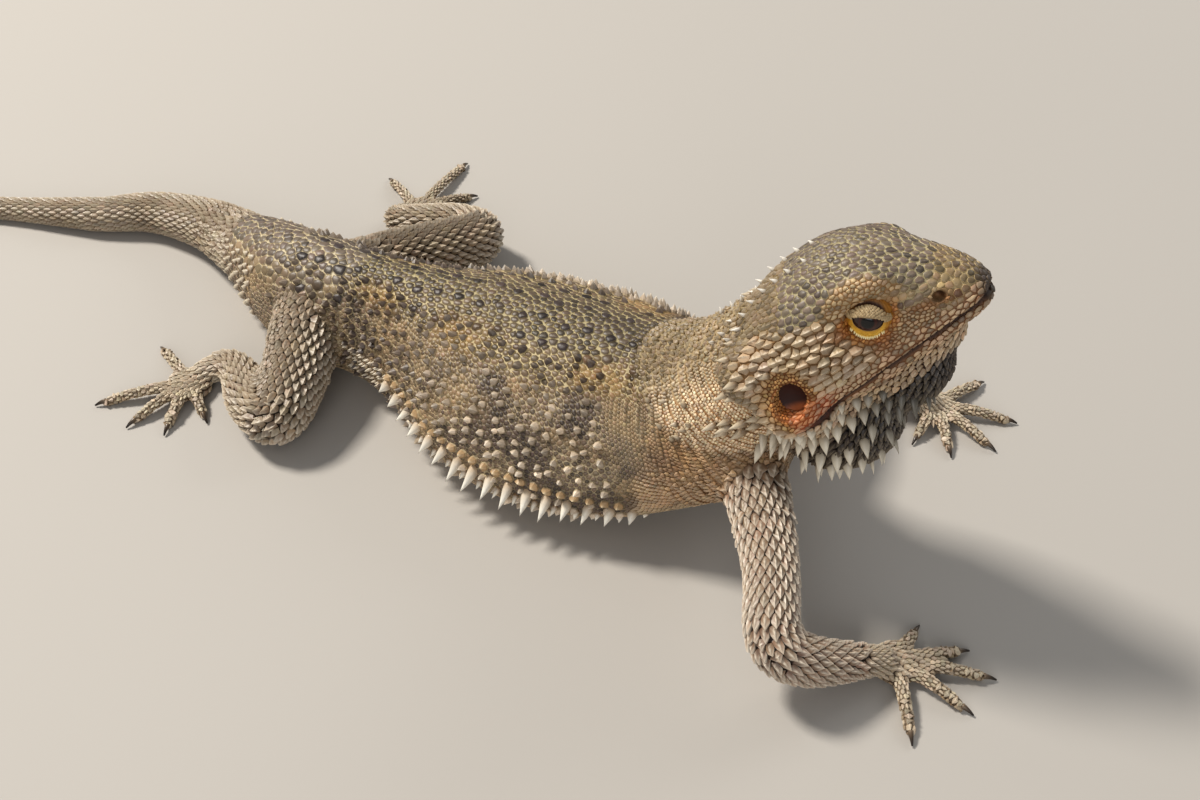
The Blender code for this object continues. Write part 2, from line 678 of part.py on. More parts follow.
def temple_spines(node, places, collection):
    """Spines of the head or the jaw that point back."""
    bm = bmesh.new()
    back = head_matrix().to_3x3() @ Vector((-1.0, 0.0, 0.0))
    for side in (-1, 1):
        for x, degrees, length in places:
            root, normal = head_ray(node, x, degrees, side)
            if root is not None:
                add_spine(bm, root, 0.8 * normal + back, length, TEMPLE_RADIUS)
    grow(node, bm, collection)


# ---------------------------------------------------------------- colour
def material(name, colour, roughness):
    made = bpy.data.materials.new(name)
    made.use_nodes = True
    made.diffuse_color = (*colour, 1.0)
    shader = made.node_tree.nodes["Principled BSDF"]
    shader.inputs["Base Color"].default_value = (*colour, 1.0)
    shader.inputs["Roughness"].default_value = roughness
    return made


def colour_parts(collection):
    looks = {
        "eye": material("Eye", (0.10, 0.05, 0.03), 0.1),
        "claw": material("Claw", (0.06, 0.05, 0.04), 0.35),
        "eardrum": material("Eardrum", (0.20, 0.05, 0.03), 0.5),
        "beard": material("Beard", (0.30, 0.27, 0.25), 0.6),
    }
    skin = material("Skin", (0.42, 0.34, 0.24), 0.6)
    for obj in collection.objects:
        obj.data.materials.clear()
        obj.data.materials.append(looks.get(obj.name.split("_")[0], skin))


def clear_scene():
    for obj in list(bpy.data.objects):
        bpy.data.objects.remove(obj)


def main():
    clear_scene()
    parts = bpy.data.collections.new("Bearded dragon")
    cutters = bpy.data.collections.new("Cutters")
    for collection in (parts, cutters):
        bpy.context.scene.collection.children.link(collection)
    body = flesh(parts)
    for cutter in (floor_block(cutters), openings(cutters), *cuts(cutters)):
        cut(body, cutter)
    pieces = parted(applied(body, parts), parts)
    fringe(pieces["trunk"], cutters)
    beard_spines(pieces["beard"], cutters)
    temple_spines(pieces["head"], TEMPLE_SPINES, cutters)
    temple_spines(pieces["lower_jaw"], JAW_SPINES, cutters)
    claws(parts)
    eyes_and_eardrums(parts)
    colour_parts(parts)


main()
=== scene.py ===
"""Bearded dragon: skin, scales, spines, lids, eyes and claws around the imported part.

Shapes are worked out in millimetres, in the frame of the part: +X along the trunk towards the head, +Y the
animal's left, +Z up from the floor. One skin repeats the part's own flesh at a finer grain, sinks it by the
depth of the coat and adds folds, lips, ears and sockets. Scales grow over it as closed meshes: each takes
the outline that its neighbours leave it, follows the lie of the coat and takes its colours from the same
markings as the skin below.
"""

import itertools
import json
import math

import bmesh
import bpy
import numpy as np
from mathutils import Matrix, Vector
from mathutils.bvhtree import BVHTree
from mathutils.kdtree import KDTree

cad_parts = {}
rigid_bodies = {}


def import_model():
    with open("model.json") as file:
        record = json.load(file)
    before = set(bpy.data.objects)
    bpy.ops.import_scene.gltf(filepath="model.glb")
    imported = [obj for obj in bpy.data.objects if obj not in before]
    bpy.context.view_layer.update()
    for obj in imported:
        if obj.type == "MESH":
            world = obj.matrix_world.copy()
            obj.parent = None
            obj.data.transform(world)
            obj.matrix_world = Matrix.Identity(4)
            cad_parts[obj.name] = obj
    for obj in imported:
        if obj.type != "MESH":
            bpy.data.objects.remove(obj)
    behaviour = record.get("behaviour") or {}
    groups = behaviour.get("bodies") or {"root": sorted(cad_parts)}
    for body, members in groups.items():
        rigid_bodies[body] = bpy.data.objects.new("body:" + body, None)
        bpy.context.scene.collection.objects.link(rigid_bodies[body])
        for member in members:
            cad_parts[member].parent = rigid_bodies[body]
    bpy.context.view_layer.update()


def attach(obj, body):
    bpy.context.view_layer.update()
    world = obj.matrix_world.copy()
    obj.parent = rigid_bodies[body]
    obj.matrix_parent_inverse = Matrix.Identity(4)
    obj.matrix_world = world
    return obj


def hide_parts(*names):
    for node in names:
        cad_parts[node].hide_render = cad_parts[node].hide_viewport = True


MM = 0.001  # metres in a millimetre
BULK_GRAIN, FINE_GRAIN = 1.5, 1.0  # voxels of the skin's two remeshes
RING_SIDES = 32

# ---------------------------------------------------------------- trunk, tail and neck
# Trunk sections across X: place along X, middle in Y, half width, top, bottom, height of the widest
# line, and the squareness of the section above and below that line.
TRUNK = (
    (-98, 11, 12, 24, -0.5, 11, 2, 2.2), (-86, 7, 15, 29, -0.5, 12, 2, 2.2),
    (-70, 1.5, 17.5, 34.5, -0.8, 13, 2.1, 2.4), (-52, 0, 18, 37, -1, 13, 2.1, 2.5),
    (-34, 0, 18, 38.5, -1, 12.5, 2, 2.6), (-16, 0, 24.5, 41, -1.2, 12, 1.9, 2.7),
    (2, 0, 34.5, 44, -1.2, 12, 1.85, 2.7), (22, 0, 39.5, 46.5, -1.2, 12, 1.8, 2.7),
    (42, 0, 39, 48.5, -0.8, 12.5, 1.8, 2.6), (60, -0.5, 33.5, 51, 2, 15, 1.9, 2.4),
    (76, -1, 27, 52, 8, 22, 2, 2.2), (90, -2, 21, 50, 16, 31, 2, 2), (100, -3, 12, 45, 25, 35, 2, 2),
)
# Tubes are rows of middle point and radius.
NECK = (
    (62, 0, 30, 22), (77, -2, 41, 21), (86, -4, 54, 19), (94, -6, 67, 17.5),
)
TAIL = (
    (-84, 7, 13.5, 12.5), (-104, 14, 10.6, 11), (-122, 17.8, 8.6, 8.9), (-143.5, 15.7, 6.8, 7.1),
    (-161, 6, 5.6, 5.9), (-191, -5, 3.8, 4), (-226, -19.5, 3.1, 3.4), (-263, -28, 2.5, 2.8),
    (-300, -30, 1.9, 2.2), (-334, -26, 1.4, 1.7), (-361, -17, 0.9, 1.2),
)

# ---------------------------------------------------------------- head, in its own frame
# Its X runs forward from the middle of the skull's rear, Y to the left, Z to the crown.
HEAD_BASE = (92.0, -6.2, 71.2)
HEAD_YAW, HEAD_PITCH, HEAD_ROLL = 10.5, 34.5, -5.0  # degrees: to the left, snout up, crown to the left
SKULL = (
    (-8, 0, 14, 7.5, -15, -3, 2, 2), (0, 0, 18, 14.5, -17, -4, 2.2, 2.1),
    (9, 0, 19.5, 18.5, -17.5, -4.5, 2.6, 2.2), (18, 0, 17.5, 21, -15.5, -4, 3, 2.3),
    (27, 0, 14.2, 21, -13, -3, 3.2, 2.4), (35, 0, 11.4, 18, -10.5, -2, 3.2, 2.4),
    (43, 0, 9, 13, -8, -1, 2.9, 2.3), (49.5, 0, 6.8, 8.4, -5.6, -0.5, 2.4, 2.2),
    (53.5, 0, 4, 4, -3.4, -0.3, 2, 2),
)
# Rounded masses of one side, as middle, radii and turn in degrees about the head's Z: brow, cheek,
# jowl and the muscle at the jaw's corner.
FACE_MASSES = (
    ((28.5, 11.2, 13.6), (9.5, 3.6, 4), -14), ((16, 14.5, 0), (9, 5, 6), -14),
    ((3, 15.5, -10), (10, 7, 9), -8), ((-5, 12, 0), (9, 9, 8.5), 0),
)
# The throat pouch that bears the beard, as middle and radii.
BEARD_MASSES = (
    ((32, 0, -9), (12.5, 7.5, 6.5)), ((22, 0, -15), (17, 10.5, 12)), ((5, 0, -24), (17.5, 15, 15.5)),
)
EYE_MIDDLE, EYE_RADIUS = (28.3, 10.3, 6.2), 5.0
EAR_MIDDLE, EAR_FLOOR, EAR_RADII, EAR_TILT = (5.0, 22.0, -6.0), 17.4, (3.6, 4.3), -25.0
NOSTRIL_MIDDLE = (44.2, 8.4, 4.5)
MOUTH_RISE = 16.0  # degrees by which the mouth line climbs towards the snout
MOUTH_FRONT = (52.0, 0.0, -1.2)

# ---------------------------------------------------------------- limbs
# Middle point and radius, from inside the trunk outwards, for the right (-Y) and left side.
FORELEGS = {
    "right": (
        (88, -9, 30, 10.5), (98, -22, 28.5, 8.4), (109, -39, 24.5, 7), (116.5, -53.5, 18, 6.9),
        (125.5, -51, 12.5, 6.4), (136, -41.5, 7.4, 4.7), (141.5, -36, 4.6, 4.3),
    ),
    "left": (
        (82, 8, 30, 10.5), (86, 22, 29, 8.6), (89, 39, 25, 7.2), (91, 54, 18.5, 7), (104, 58.5, 14, 6.2),
        (117.5, 61, 7.8, 4.6), (124, 61.5, 4.6, 4.2),
    ),
}
HINDLEGS = {
    "right": (
        (-58, -6, 18, 11.5), (-52, -20, 16.5, 10.6), (-46.5, -33.5, 13.5, 9.6), (-44, -45.5, 10, 8.2),
        (-55, -43, 8.6, 7.3), (-66, -34.5, 7.2, 5.8), (-74, -31.5, 5.2, 4.7), (-79, -37, 3.8, 4.2),
    ),
    "left": (
        (-58, 6, 18, 11.5), (-50, 23, 16.5, 10.6), (-40.5, 42, 13.8, 9.6), (-36, 56, 11, 8.4),
        (-46, 59.5, 9.5, 7.4), (-60, 56.5, 8, 5.8), (-69.5, 56, 5.6, 4.7), (-70.5, 62, 3.8, 4.2),
    ),
}
# The sole's middle and radii, and the tips of digits 1 to 5, on the floor.
FEET = {
    "hand_right": (
        (144.5, -33.5), (6.6, 6.6), ((146, -22), (157.5, -22), (165.5, -26), (163, -37), (154, -50)),
    ),
    "hand_left": (
        (125.5, 63.5), (6.6, 6.6), ((124.5, 50), (134, 50), (143.5, 57), (146, 69.5), (134, 80)),
    ),
    "foot_right": (
        (-80.5, -42), (7.2, 6.2), ((-70, -49), (-75.5, -57.5), (-85, -60.5), (-97.5, -59), (-97, -34)),
    ),
    "foot_left": (
        (-68.5, 67), (6.2, 7.2), ((-53, 69), (-53, 77), (-58, 84), (-69.5, 99), (-86, 78)),
    ),
}
DIGIT_RADIUS, DIGIT_TIP_RADIUS, DIGIT_ARCH = 2.0, 1.55, 1.6
CLAW_NARROWNESS = 0.85  # width over height
CLAW_LENGTH, CLAW_RADIUS, CLAW_SIDES, CLAW_RINGS = 3.6, 0.95, 12, 4

# ---------------------------------------------------------------- large spines
FRINGE_SPINES, FRINGE_FROM, FRINGE_TO = 16, -20.0, 66.0
FRINGE_LENGTH, FRINGE_SHORTEST, FRINGE_RADIUS = 6.9, 3.6, 1.5
# Rows of the beard: degrees below the level, first and last place along the head, number, length, radius.
BEARD_ROWS = (
    (13, 2, 13, 4, 3.2, 1.3), (24, -6, 22, 9, 4.6, 1.35), (37, -12, 26, 12, 5.8, 1.4),
    (50, -14, 28, 12, 6.2, 1.35), (63, -10, 30, 11, 5.8, 1.25), (77, -4, 30, 9, 5, 1.15),
)
# Spines behind the temple and over the ear, then at the jaw's corner: place along the head, degrees
# above the level, length, radius.
TEMPLE_SPINES = (
    (-6, 62, 2, 0.77), (-7, 46, 2.3, 0.86), (-7.5, 32, 2.4, 0.95), (-6.5, 15, 3.2, 1.2),
    (-2.5, 11, 2.9, 1.2), (1.5, 14, 2.3, 1.12), (5, 17, 1.7, 1.03), (-10, 2, 2.2, 0.95),
)
JAW_SPINES = (
    (-8, -2, 3.2, 1.12), (-12, 3, 3.3, 1.03), (-13, -6, 3.7, 1.12), (-17, -1, 3.7, 1.03),
    (-18, -10, 3.9, 1.12), (-22, -5, 3.5, 1.03), (-10, -13, 3.6, 1.2), (-15, -18, 3.9, 1.2),
    (-20, -17, 3.6, 1.12), (-6, -18, 3.3, 1.2),
)

# ---------------------------------------------------------------- skin and coat
COAT, FINE_COAT = 0.55, 0.35  # how deep the skin lies below the part's own surface, on the body and face
SKIN_LIFT, FLOOR_CLEAR = 0.25, 0.02  # lowest points of the skin and of the scales
FINE_HEAD_FROM, FINE_HEAD_FLOOR = 0.0, -26.0  # in the head frame: where the skin has finer faces
EAR_SKIN_LEVEL = -0.2  # bottom of the ear's pit, from the drum's level
SOCKET_RADII = (5.5, 4.9)
LID_RADIUS = 5.5
# Rows of scales along the mouth: height over its line, step, size as a share, first and last place.
LIP_ROWS = (
    (1.1, 2.4, 0.85, 11, 60), (2.3, 2.5, 0.85, 12, 60), (3.6, 2.6, 0.85, 16, 60), (-1.4, 2.1, 1.15, 11, 60),
    (-3.1, 2.1, 1.05, 10, 60), (-4.8, 1.9, 1, 10, 56), (7.6, 2.6, 0.85, 10, 26), (9.8, 3, 1, 6, 24),
    (12.4, 3.2, 1.1, 4, 23), (15, 3.2, 1.1, 2, 22),
)
LIP_BEND, LIP_TURN = 40.0, 12.0  # where the rows start to turn round the snout, and how far it takes
FILL = 300000  # random places offered to the scales
ROW_STEP = 0.866  # of a scale's length, between staggered rings
NEIGHBOURS, GROOVE, SCALE_SIDES = 9, 0.08, 8
SMOOTH_BELOW = 0.19  # keels lower than this share of the scale are shaded smooth
DARK_PLATE = 3.1  # width of the dark plates on the back
STUD_STEP, STUD_TURN, STUD_ROWS, STUD_WIDTHS = 3.9, 6.4, 14, (2.0, 2.8)
DOME_LEVEL, DOME_WIDTH = 17.4, 3.3
CREASE = 0.62  # half the height of the mouth line that stays bare
MOST_FACES = 190000  # in one piece of the coat
PATCH = 0.003  # side of a scale's patch in the bake map

# ---------------------------------------------------------------- camera and lights, in metres and watts
CAMERA_PLACE, CAMERA_TARGET = (0.1555, -0.2428, 0.2872), (0.0321, 0.0164, 0.0)
CAMERA_LENS, CAMERA_ROLL = 39.0, 0.05
LIGHTS = (
    ("Key", (-1.3, 0.0, 1.65), 0.38, 43.0, (1.0, 0.96, 0.9)),
    ("Fill", (0.4, -1.0, 0.55), 0.7, 3.4, (0.98, 0.98, 1.0)),
    ("Rim", (0.4, 0.9, 0.6), 0.5, 2.0, (1.0, 1.0, 1.0)),
)
SKY, SKY_STRENGTH, FLOOR_COLOUR = (0.93, 0.96, 1.0), 0.27, (0.47, 0.44, 0.4)

# ---------------------------------------------------------------- small spines and lids
SPINE_SIDES, SPINE_SUNK = 8, 0.25
# Rows of the fringe: height, share of the full length, shift along X, lift of the tips, and colours at
# root and tip.
FRINGE_ROWS = (
    (14.0, 1.0, 0.0, 0.0, ((188, 166, 138), (236, 230, 216))),
    (11.5, 0.45, 2.4, -0.1, ((140, 112, 82), (236, 230, 216))),
)
REAR_SPINES, REAR_LEVELS, SHOULDER_SPINES, BEARD_REACH = 20, (11.5, 14.5, 17.5), 9, 27.0
# Small spines over the skull's rear and the nape: place along the head, degrees above the level, length.
NAPE_SPINES = (
    (17, 80, 1.5), (12.5, 78, 1.8), (8.5, 77, 2), (4.5, 76, 2.2), (0.5, 75, 2.3), (-3, 70, 2.3),
    (-4.5, 58, 2.4), (-7, 74, 2.3), (-8, 50, 2.4), (-11, 66, 2.2), (-15, 62, 2.2),
)
TAIL_CONES, TAIL_CONES_FROM, TAIL_CONE_STEP = 18, -10.0, 2.5
TAIL_CONE_ROWS = (-24.0, -4.0, 16.0, 36.0)  # degrees above the level
EYE_SLANT = 27.0  # degrees by which the slit between the lids falls towards the snout
SLIT_HALF, SLIT_LEVEL, UPPER_OPEN, LOWER_OPEN = 43.0, 2.0, 11.0, 27.0
COMB_HALF, COMB_SHARE, COMB_SCALES = 52.0, 0.4, 18
LID_ROWS, LID_STEP = 7, 8.0
# Profiles of the lids: share of the way from the margin, height over the eyeball; and their colours.
UPPER_LID = (
    (0, 0.03), (0.03, 0.3), (0.1, 0.52), (0.35, 0.66), (0.5, 0.58), (0.56, 0.36), (0.68, 0.6), (1, 0.2),
)
LOWER_LID = (
    (0, 0.03), (0.04, 0.2), (0.3, 0.28), (0.4, 0.46), (0.48, 0.28), (0.6, 0.5), (1, 0.1),
)
# The first, dark row of each lid's colours is painted shade along the slit.
# The upper lid's dark band at 0.52 to 0.6 is the brow's painted shadow in its crease.
UPPER_TONES = (
    (0, (96, 66, 42)), (0.05, (190, 170, 132)), (0.3, (178, 154, 116)), (0.44, (160, 126, 84)),
    (0.52, (70, 40, 20)), (0.6, (62, 34, 18)), (0.7, (160, 116, 70)), (1, (150, 100, 50)),
)
# The lower lid's brown band at 0.47 is painted shade in its crease below the comb.
LOWER_TONES = (
    (0, (90, 58, 24)), (0.05, (206, 156, 52)), (0.38, (224, 178, 70)), (0.47, (120, 58, 14)),
    (0.62, (178, 102, 26)), (1, (150, 78, 20)),
)
IRIS = (
    (0, (5, 4, 4)), (18, (7, 5, 5)), (20.5, (104, 48, 32)), (23.5, (46, 22, 18)), (34, (58, 30, 20)),
    (42, (26, 16, 12)), (180, (20, 12, 10)),
)
# Blender gives the faces of a sphere in another order each run. Sorted along this line they keep one order.
FACE_ORDER = Vector((1.0, 0.5, 1000.0))

# ---------------------------------------------------------------- measures that several functions share
SOLE_LEVEL, SOLE_DEPTH = 2.2, 3.1
NOSTRIL_PIT, NOSTRIL_SCALES, NOSTRIL_OPENING = (1.35, 1.8, 1.15), (1.25, 2, 1), (1.1, 4.0, 0.9)  # radii
NECK_FOLD, LIMB_FOLD = 2.9, 2.6  # from fold to fold
FAR = 1e3
STEPS = 5  # rows worked out for each row of a table
SEED = 7

# How the places of scales are told apart; lower ones are laid first.
PLATES, LIPS, RINGS, DOMES, STUDS, FILLING = 0, 1, 2, 3, 4, 9
LAID_REACH, FILL_REACH = 0.62, 0.86  # shares of a scale's size that it keeps clear
RINGS_FROM = {"neck": 0.0, "tail": 0.12}  # share of the length; 0.2 on limbs and digits
# Columns of the values at a point: colours of plate, edge and tip, the normal, and the lie of the coat.
PLATE, BETWEEN, TIP, NORMAL, WAY = (slice(k, k + 3) for k in (6, 9, 12, 15, 18))
DARK_CHANCE = 0.22
STUD_HEIGHTS, DOME_HEIGHT = (0.42, 0.78), 0.35  # shares of the size

# ---------------------------------------------------------------- colours, on the screen's scale of 0 to 255
# The markings.
SPOT, BLOTCH, PALE, SHADE = (50, 41, 42), (72, 59, 57), (188, 158, 112), (66, 54, 48)
OCHRE, SHOULDER, BROWN = (196, 152, 84), (196, 152, 104), (120, 98, 74)
# The mouth line's dark is painted shade in its crease.
# The nostrils' dark is painted shade in their openings.
EAR_ORANGE, MOUTH_SHADE, NOSTRIL_SHADE = (190, 114, 54), (46, 22, 15), (34, 16, 10)
# The brown under the brow is partly its own colour and partly painted shade of the brow's overhang.
EYE_ORANGE_AND_SHADE, BROW_PALE, BROW_BROWN_AND_SHADE = (160, 92, 28), (206, 178, 132), (152, 92, 38)
# The orange patches at the eye's front, lower and rear edges are partly skin colour and partly painted shade
# of its corners.
EYE_MARKS = (((6.5, 1.5), 2.2), ((1.0, -7.0), 2.8), ((-7.0, -1.0), 2.0))  # off the eye's middle, and width
# Studs: plate and tip where they are dark, the same where they are light, and the plate at the hip.
# The dark studs' pale tip is partly their own pale tip, partly a painted highlight.
STUD_TONES = ((62, 50, 47), (172, 156, 134), (188, 171, 150), (236, 228, 212), (112, 98, 84))
DOME_TONES = ((172, 142, 104), (226, 210, 178))
# Spines and small horn: root and tip.
REAR_TONES = ((150, 124, 94), (222, 210, 188))
TAIL_TONES = ((132, 114, 94), (206, 194, 172))
TEMPLE_TONES = ((138, 116, 90), (204, 190, 166))
NAPE_TONES = ((132, 116, 94), (234, 228, 216))
SHOULDER_TONES = ((126, 108, 88), (196, 180, 154))
BEARD_LOW, BEARD_HIGH = (150, 136, 114), (226, 216, 196)
LID_TONES, COMB_TONES = ((128, 100, 68), (184, 162, 124)), ((220, 176, 70), (250, 242, 200))
# The lids' own orange at the corners, and the painted shade along the slit towards them.
LID_CORNER, SLIT_SHADE = (186, 128, 48), (60, 30, 14)
# The eardrum: painted shadow of the rim over its upper part, and its own orange below.
DRUM_SHADOW, DRUM_ORANGE = (52, 17, 11), (160, 88, 40)
CLAW_PALE, CLAW_DARK = (120, 102, 82), (44, 36, 32)
# Widths of a spine from below its root to its tip, as shares of its radius.
CONE = (0.95, 1.08, 1.0, 0.8, 0.55, 0.27)
DOME = (0.9, 1.0, 1.0, 0.92, 0.75, 0.45)
LANCE = (0.7, 0.95, 1.05, 0.9, 0.6, 0.28)


# ---------------------------------------------------------------- small geometry
def blended(rows, steps):
    """Rows of numbers with smooth Catmull-Rom steps between each pair."""
    rows = np.array(rows, float)
    padded = np.vstack([2 * rows[0] - rows[1], rows, 2 * rows[-1] - rows[-2]])
    result = []
    for k in range(1, len(padded) - 2):
        a, b, c, d = padded[k - 1 : k + 3]
        for t in np.arange(steps) / steps:
            bend = (2 * a - 5 * b + 4 * c - d) * t**2 + (3 * b - a - 3 * c + d) * t**3
            result.append(0.5 * (2 * b + (c - a) * t + bend))
    result.append(rows[-1])
    return np.array(result)


def section(middle, half_width, top, bottom, level, top_power, low_power):
    """A closed ring in the YZ plane: a superellipse whose upper and lower halves differ."""
    points = []
    for angle in (math.tau * k / RING_SIDES for k in range(RING_SIDES)):
        across, upward = math.cos(angle), math.sin(angle)
        power = top_power if upward >= 0 else low_power
        reach = top - level if upward >= 0 else level - bottom
        y = middle + half_width * math.copysign(abs(across) ** (2 / power), across)
        points.append((y, level + reach * math.copysign(abs(upward) ** (2 / power), upward)))
    return points


def head_matrix():
    """From the head's own frame to the part's frame, in millimetres."""
    turn = Matrix.Rotation(math.radians(HEAD_YAW), 4, "Z")
    turn = turn @ Matrix.Rotation(math.radians(-HEAD_PITCH), 4, "Y")
    turn = turn @ Matrix.Rotation(math.radians(HEAD_ROLL), 4, "X")
    return Matrix.Translation(HEAD_BASE) @ turn


def add_object(name, data):
    """A new object of the scene."""
    obj = bpy.data.objects.new(name, data)
    bpy.context.scene.collection.objects.link(obj)
    return obj


def sideways(ahead):
    """The level direction across this one, and the direction square to both."""
    across = ahead.cross(Vector((0, 0, 1))).normalized()
    return across, across.cross(ahead)


def ring_round(row, ahead, sides, narrowness=1.0):
    """A ring of points square to a direction, round the row's middle at its radius."""
    across, upward = sideways(ahead)
    ring = []
    for angle in (math.tau * k / sides for k in range(sides)):
        offset = narrowness * math.cos(angle) * across + math.sin(angle) * upward
        ring.append(Vector(row[:3]) + row[3] * offset)
    return ring


def add_rings(bm, rings):
    """A closed tube through rings of equal length, with flat ends."""
    loops = [[bm.verts.new(Vector(point)) for point in ring] for ring in rings]
    count = len(loops[0])
    for near, far in zip(loops, loops[1:]):
        for k in range(count):
            bm.faces.new((near[k], near[(k + 1) % count], far[(k + 1) % count], far[k]))
    bm.faces.new(loops[0][::-1])
    bm.faces.new(loops[-1])


def add_tube(bm, rows, steps=STEPS, sides=20):
    """A round tube through rows of middle and radius, with rounded ends."""
    path = blended(rows, steps).tolist()
    rings = []
    for k, row in enumerate(path):
        ahead = Vector(path[min(k + 1, len(path) - 1)][:3]) - Vector(path[max(k - 1, 0)][:3])
        ahead.normalize()
        rings.append(ring_round(row, ahead, sides))
    add_rings(bm, rings)
    for row in (path[0], path[-1]):
        add_ellipsoid(bm, row[:3], (row[3],) * 3)


def add_ellipsoid(bm, middle, radii, frame=Matrix(), turn=0.0, segments=24):
    """An ellipsoid at a place of the frame, turned about the frame's Z."""
    place = frame @ Matrix.Translation(Vector(middle)) @ Matrix.Rotation(math.radians(turn), 4, "Z")
    place = place @ Matrix.Diagonal((*radii, 1.0))
    bmesh.ops.create_uvsphere(bm, u_segments=segments, v_segments=segments // 2, radius=1.0, matrix=place)


# ---------------------------------------------------------------- flesh
def add_sections(bm, table, frame=Matrix()):
    """A closed body through the sections of a table, which lie across the frame's X."""
    rings = []
    for row in blended(table, STEPS).tolist():
        rings.append([frame @ Vector((row[0], y, z)) for y, z in section(*row[1:])])
    add_rings(bm, rings)


def add_head(bm):
    """The skull, the rounded masses of the face and the throat pouch."""
    frame = head_matrix()
    add_sections(bm, SKULL, frame)
    for side in (-1, 1):
        for (x, y, z), radii, turn in FACE_MASSES:
            add_ellipsoid(bm, (x, side * y, z), radii, frame, side * turn)
    for middle, radii in BEARD_MASSES:
        add_ellipsoid(bm, middle, radii, frame)


def add_digits(bm, foot):
    """The sole, and digits that leave it for their tips with a low arch."""
    (x, y), (long, wide), tips = FEET[foot]
    add_ellipsoid(bm, (x, y, SOLE_LEVEL), (long, wide, SOLE_DEPTH))
    for tip in tips:
        add_tube(bm, digit_rows(x, y, tip), steps=4, sides=10)


def digit_rows(x, y, tip):
    """A digit's middle line and radii, from inside the sole to its tip."""
    root = Vector((x, y, SOLE_LEVEL))
    end = Vector((*tip, DIGIT_TIP_RADIUS - 0.15))
    root += (end - root).normalized() * 3.0
    rows = []
    for t in (0.0, 0.33, 0.66, 1.0):
        middle = root.lerp(end, t)
        middle.z += DIGIT_ARCH * math.sin(math.pi * t) * (1 - 0.4 * t)
        rows.append((*middle, DIGIT_RADIUS + (DIGIT_TIP_RADIUS - DIGIT_RADIUS) * t))
    return rows


def ear_frame(side, depth):
    """A frame on the side of the head whose Z points out, at this distance from the middle plane."""
    x, _, z = EAR_MIDDLE
    place = head_matrix() @ Matrix.Translation((x, side * depth, z))
    tilt = Matrix.Rotation(math.radians(-side * EAR_TILT), 4, "Z")
    return place @ Matrix.Rotation(math.radians(-90.0 * side), 4, "X") @ tilt


def finished(bm, name):
    """The bmesh as a mesh whose faces point out."""
    bmesh.ops.recalc_face_normals(bm, faces=bm.faces[:])
    mesh = bpy.data.meshes.new(name)
    bm.to_mesh(mesh)
    bm.free()
    return mesh


def remeshed(mesh, grain, rounds):
    """The joined surface of all the mesh's overlapping shapes, smoothed."""
    obj = add_object(mesh.name, mesh)
    remesh = obj.modifiers.new("Join", "REMESH")
    remesh.mode = "VOXEL"
    remesh.voxel_size = grain
    smooth = obj.modifiers.new("Fillet", "SMOOTH")
    smooth.factor = 0.5
    smooth.iterations = rounds
    joined = bpy.data.meshes.new_from_object(obj.evaluated_get(bpy.context.evaluated_depsgraph_get()))
    bpy.data.objects.remove(obj)
    return joined


def flesh():
    """The whole body as one mesh: the bulk, then the thin tail, feet and digits at a finer grain."""
    bm = bmesh.new()
    add_sections(bm, TRUNK)
    add_head(bm)
    add_tube(bm, NECK)
    add_tube(bm, TAIL[:6])
    for rows in (*FORELEGS.values(), *HINDLEGS.values()):
        add_tube(bm, rows)
    bulk = remeshed(finished(bm, "Bulk"), BULK_GRAIN, 9)
    bm = bmesh.new()
    add_tube(bm, TAIL[4:])
    for foot in FEET:
        add_digits(bm, foot)
    bm.from_mesh(bulk)
    return remeshed(finished(bm, "Flesh"), FINE_GRAIN, 3)


def finer_head(mesh):
    """Splits each polygon of the face once more."""
    bm = bmesh.new()
    bm.from_mesh(mesh)
    inverse = head_matrix().inverted()
    middle = {face: inverse @ face.calc_center_median() for face in bm.faces}
    front = [face for face in bm.faces if middle[face].x > FINE_HEAD_FROM]
    near = [face for face in front if middle[face].z > FINE_HEAD_FLOOR]
    edges = list({edge for face in near for edge in face.edges})
    bmesh.ops.subdivide_edges(bm, edges=edges, cuts=1, use_grid_fill=True, smooth=0.0)
    bmesh.ops.triangulate(bm, faces=bm.faces[:])
    return finished(bm, "Skin")


class Surface:
    """The skin as arrays: points, normals, triangles and the neighbours of each point."""

    def __init__(self, mesh):
        self.points = read(mesh.vertices, "co", 3)
        self.triangles = read(mesh.polygons, "vertices", 3, int)
        edges = read(mesh.edges, "vertices", 2, int)
        self.neighbours = neighbour_table(edges, len(self.points))
        self.update()

    def update(self):
        """New normals and areas after the points moved."""
        corners = self.points[self.triangles]
        across = np.cross(corners[:, 1] - corners[:, 0], corners[:, 2] - corners[:, 0])
        self.areas = np.linalg.norm(across, axis=1) / 2
        self.normals = np.zeros_like(self.points)
        for corner in range(3):
            for axis in range(3):
                self.normals[:, axis] += np.bincount(
                    self.triangles[:, corner], across[:, axis], len(self.points)
                )
        self.normals = unit(self.normals)

    def tree(self):
        """A search tree of the triangles."""
        return BVHTree.FromPolygons(self.points.tolist(), self.triangles.tolist())

    def smoothed(self, values, rounds):
        """Values at the points, evened out with those of their neighbours."""
        for _ in range(rounds):
            values = 0.4 * values + 0.6 * values[self.neighbours].mean(axis=1)
        return values


def row_at(path, lengths, here):
    """Middle and radius of a path at this length along it."""
    return np.array([np.interp(here, lengths, column) for column in path.T])


def read(items, name, width, kind=float):
    """One property of all the mesh's items as rows."""
    values = np.empty(len(items) * width, np.float32 if kind is float else np.int32)
    items.foreach_get(name, values)
    return values.reshape(-1, width).astype(kind)


def unit(vectors):
    """The vectors at length 1."""
    return vectors / np.maximum(np.linalg.norm(vectors, axis=-1, keepdims=True), 1e-9)


def balanced(places):
    """A search tree of places, each under its number."""
    tree = KDTree(len(places))
    for k, place in enumerate(places):
        tree.insert(place, k)
    tree.balance()
    return tree


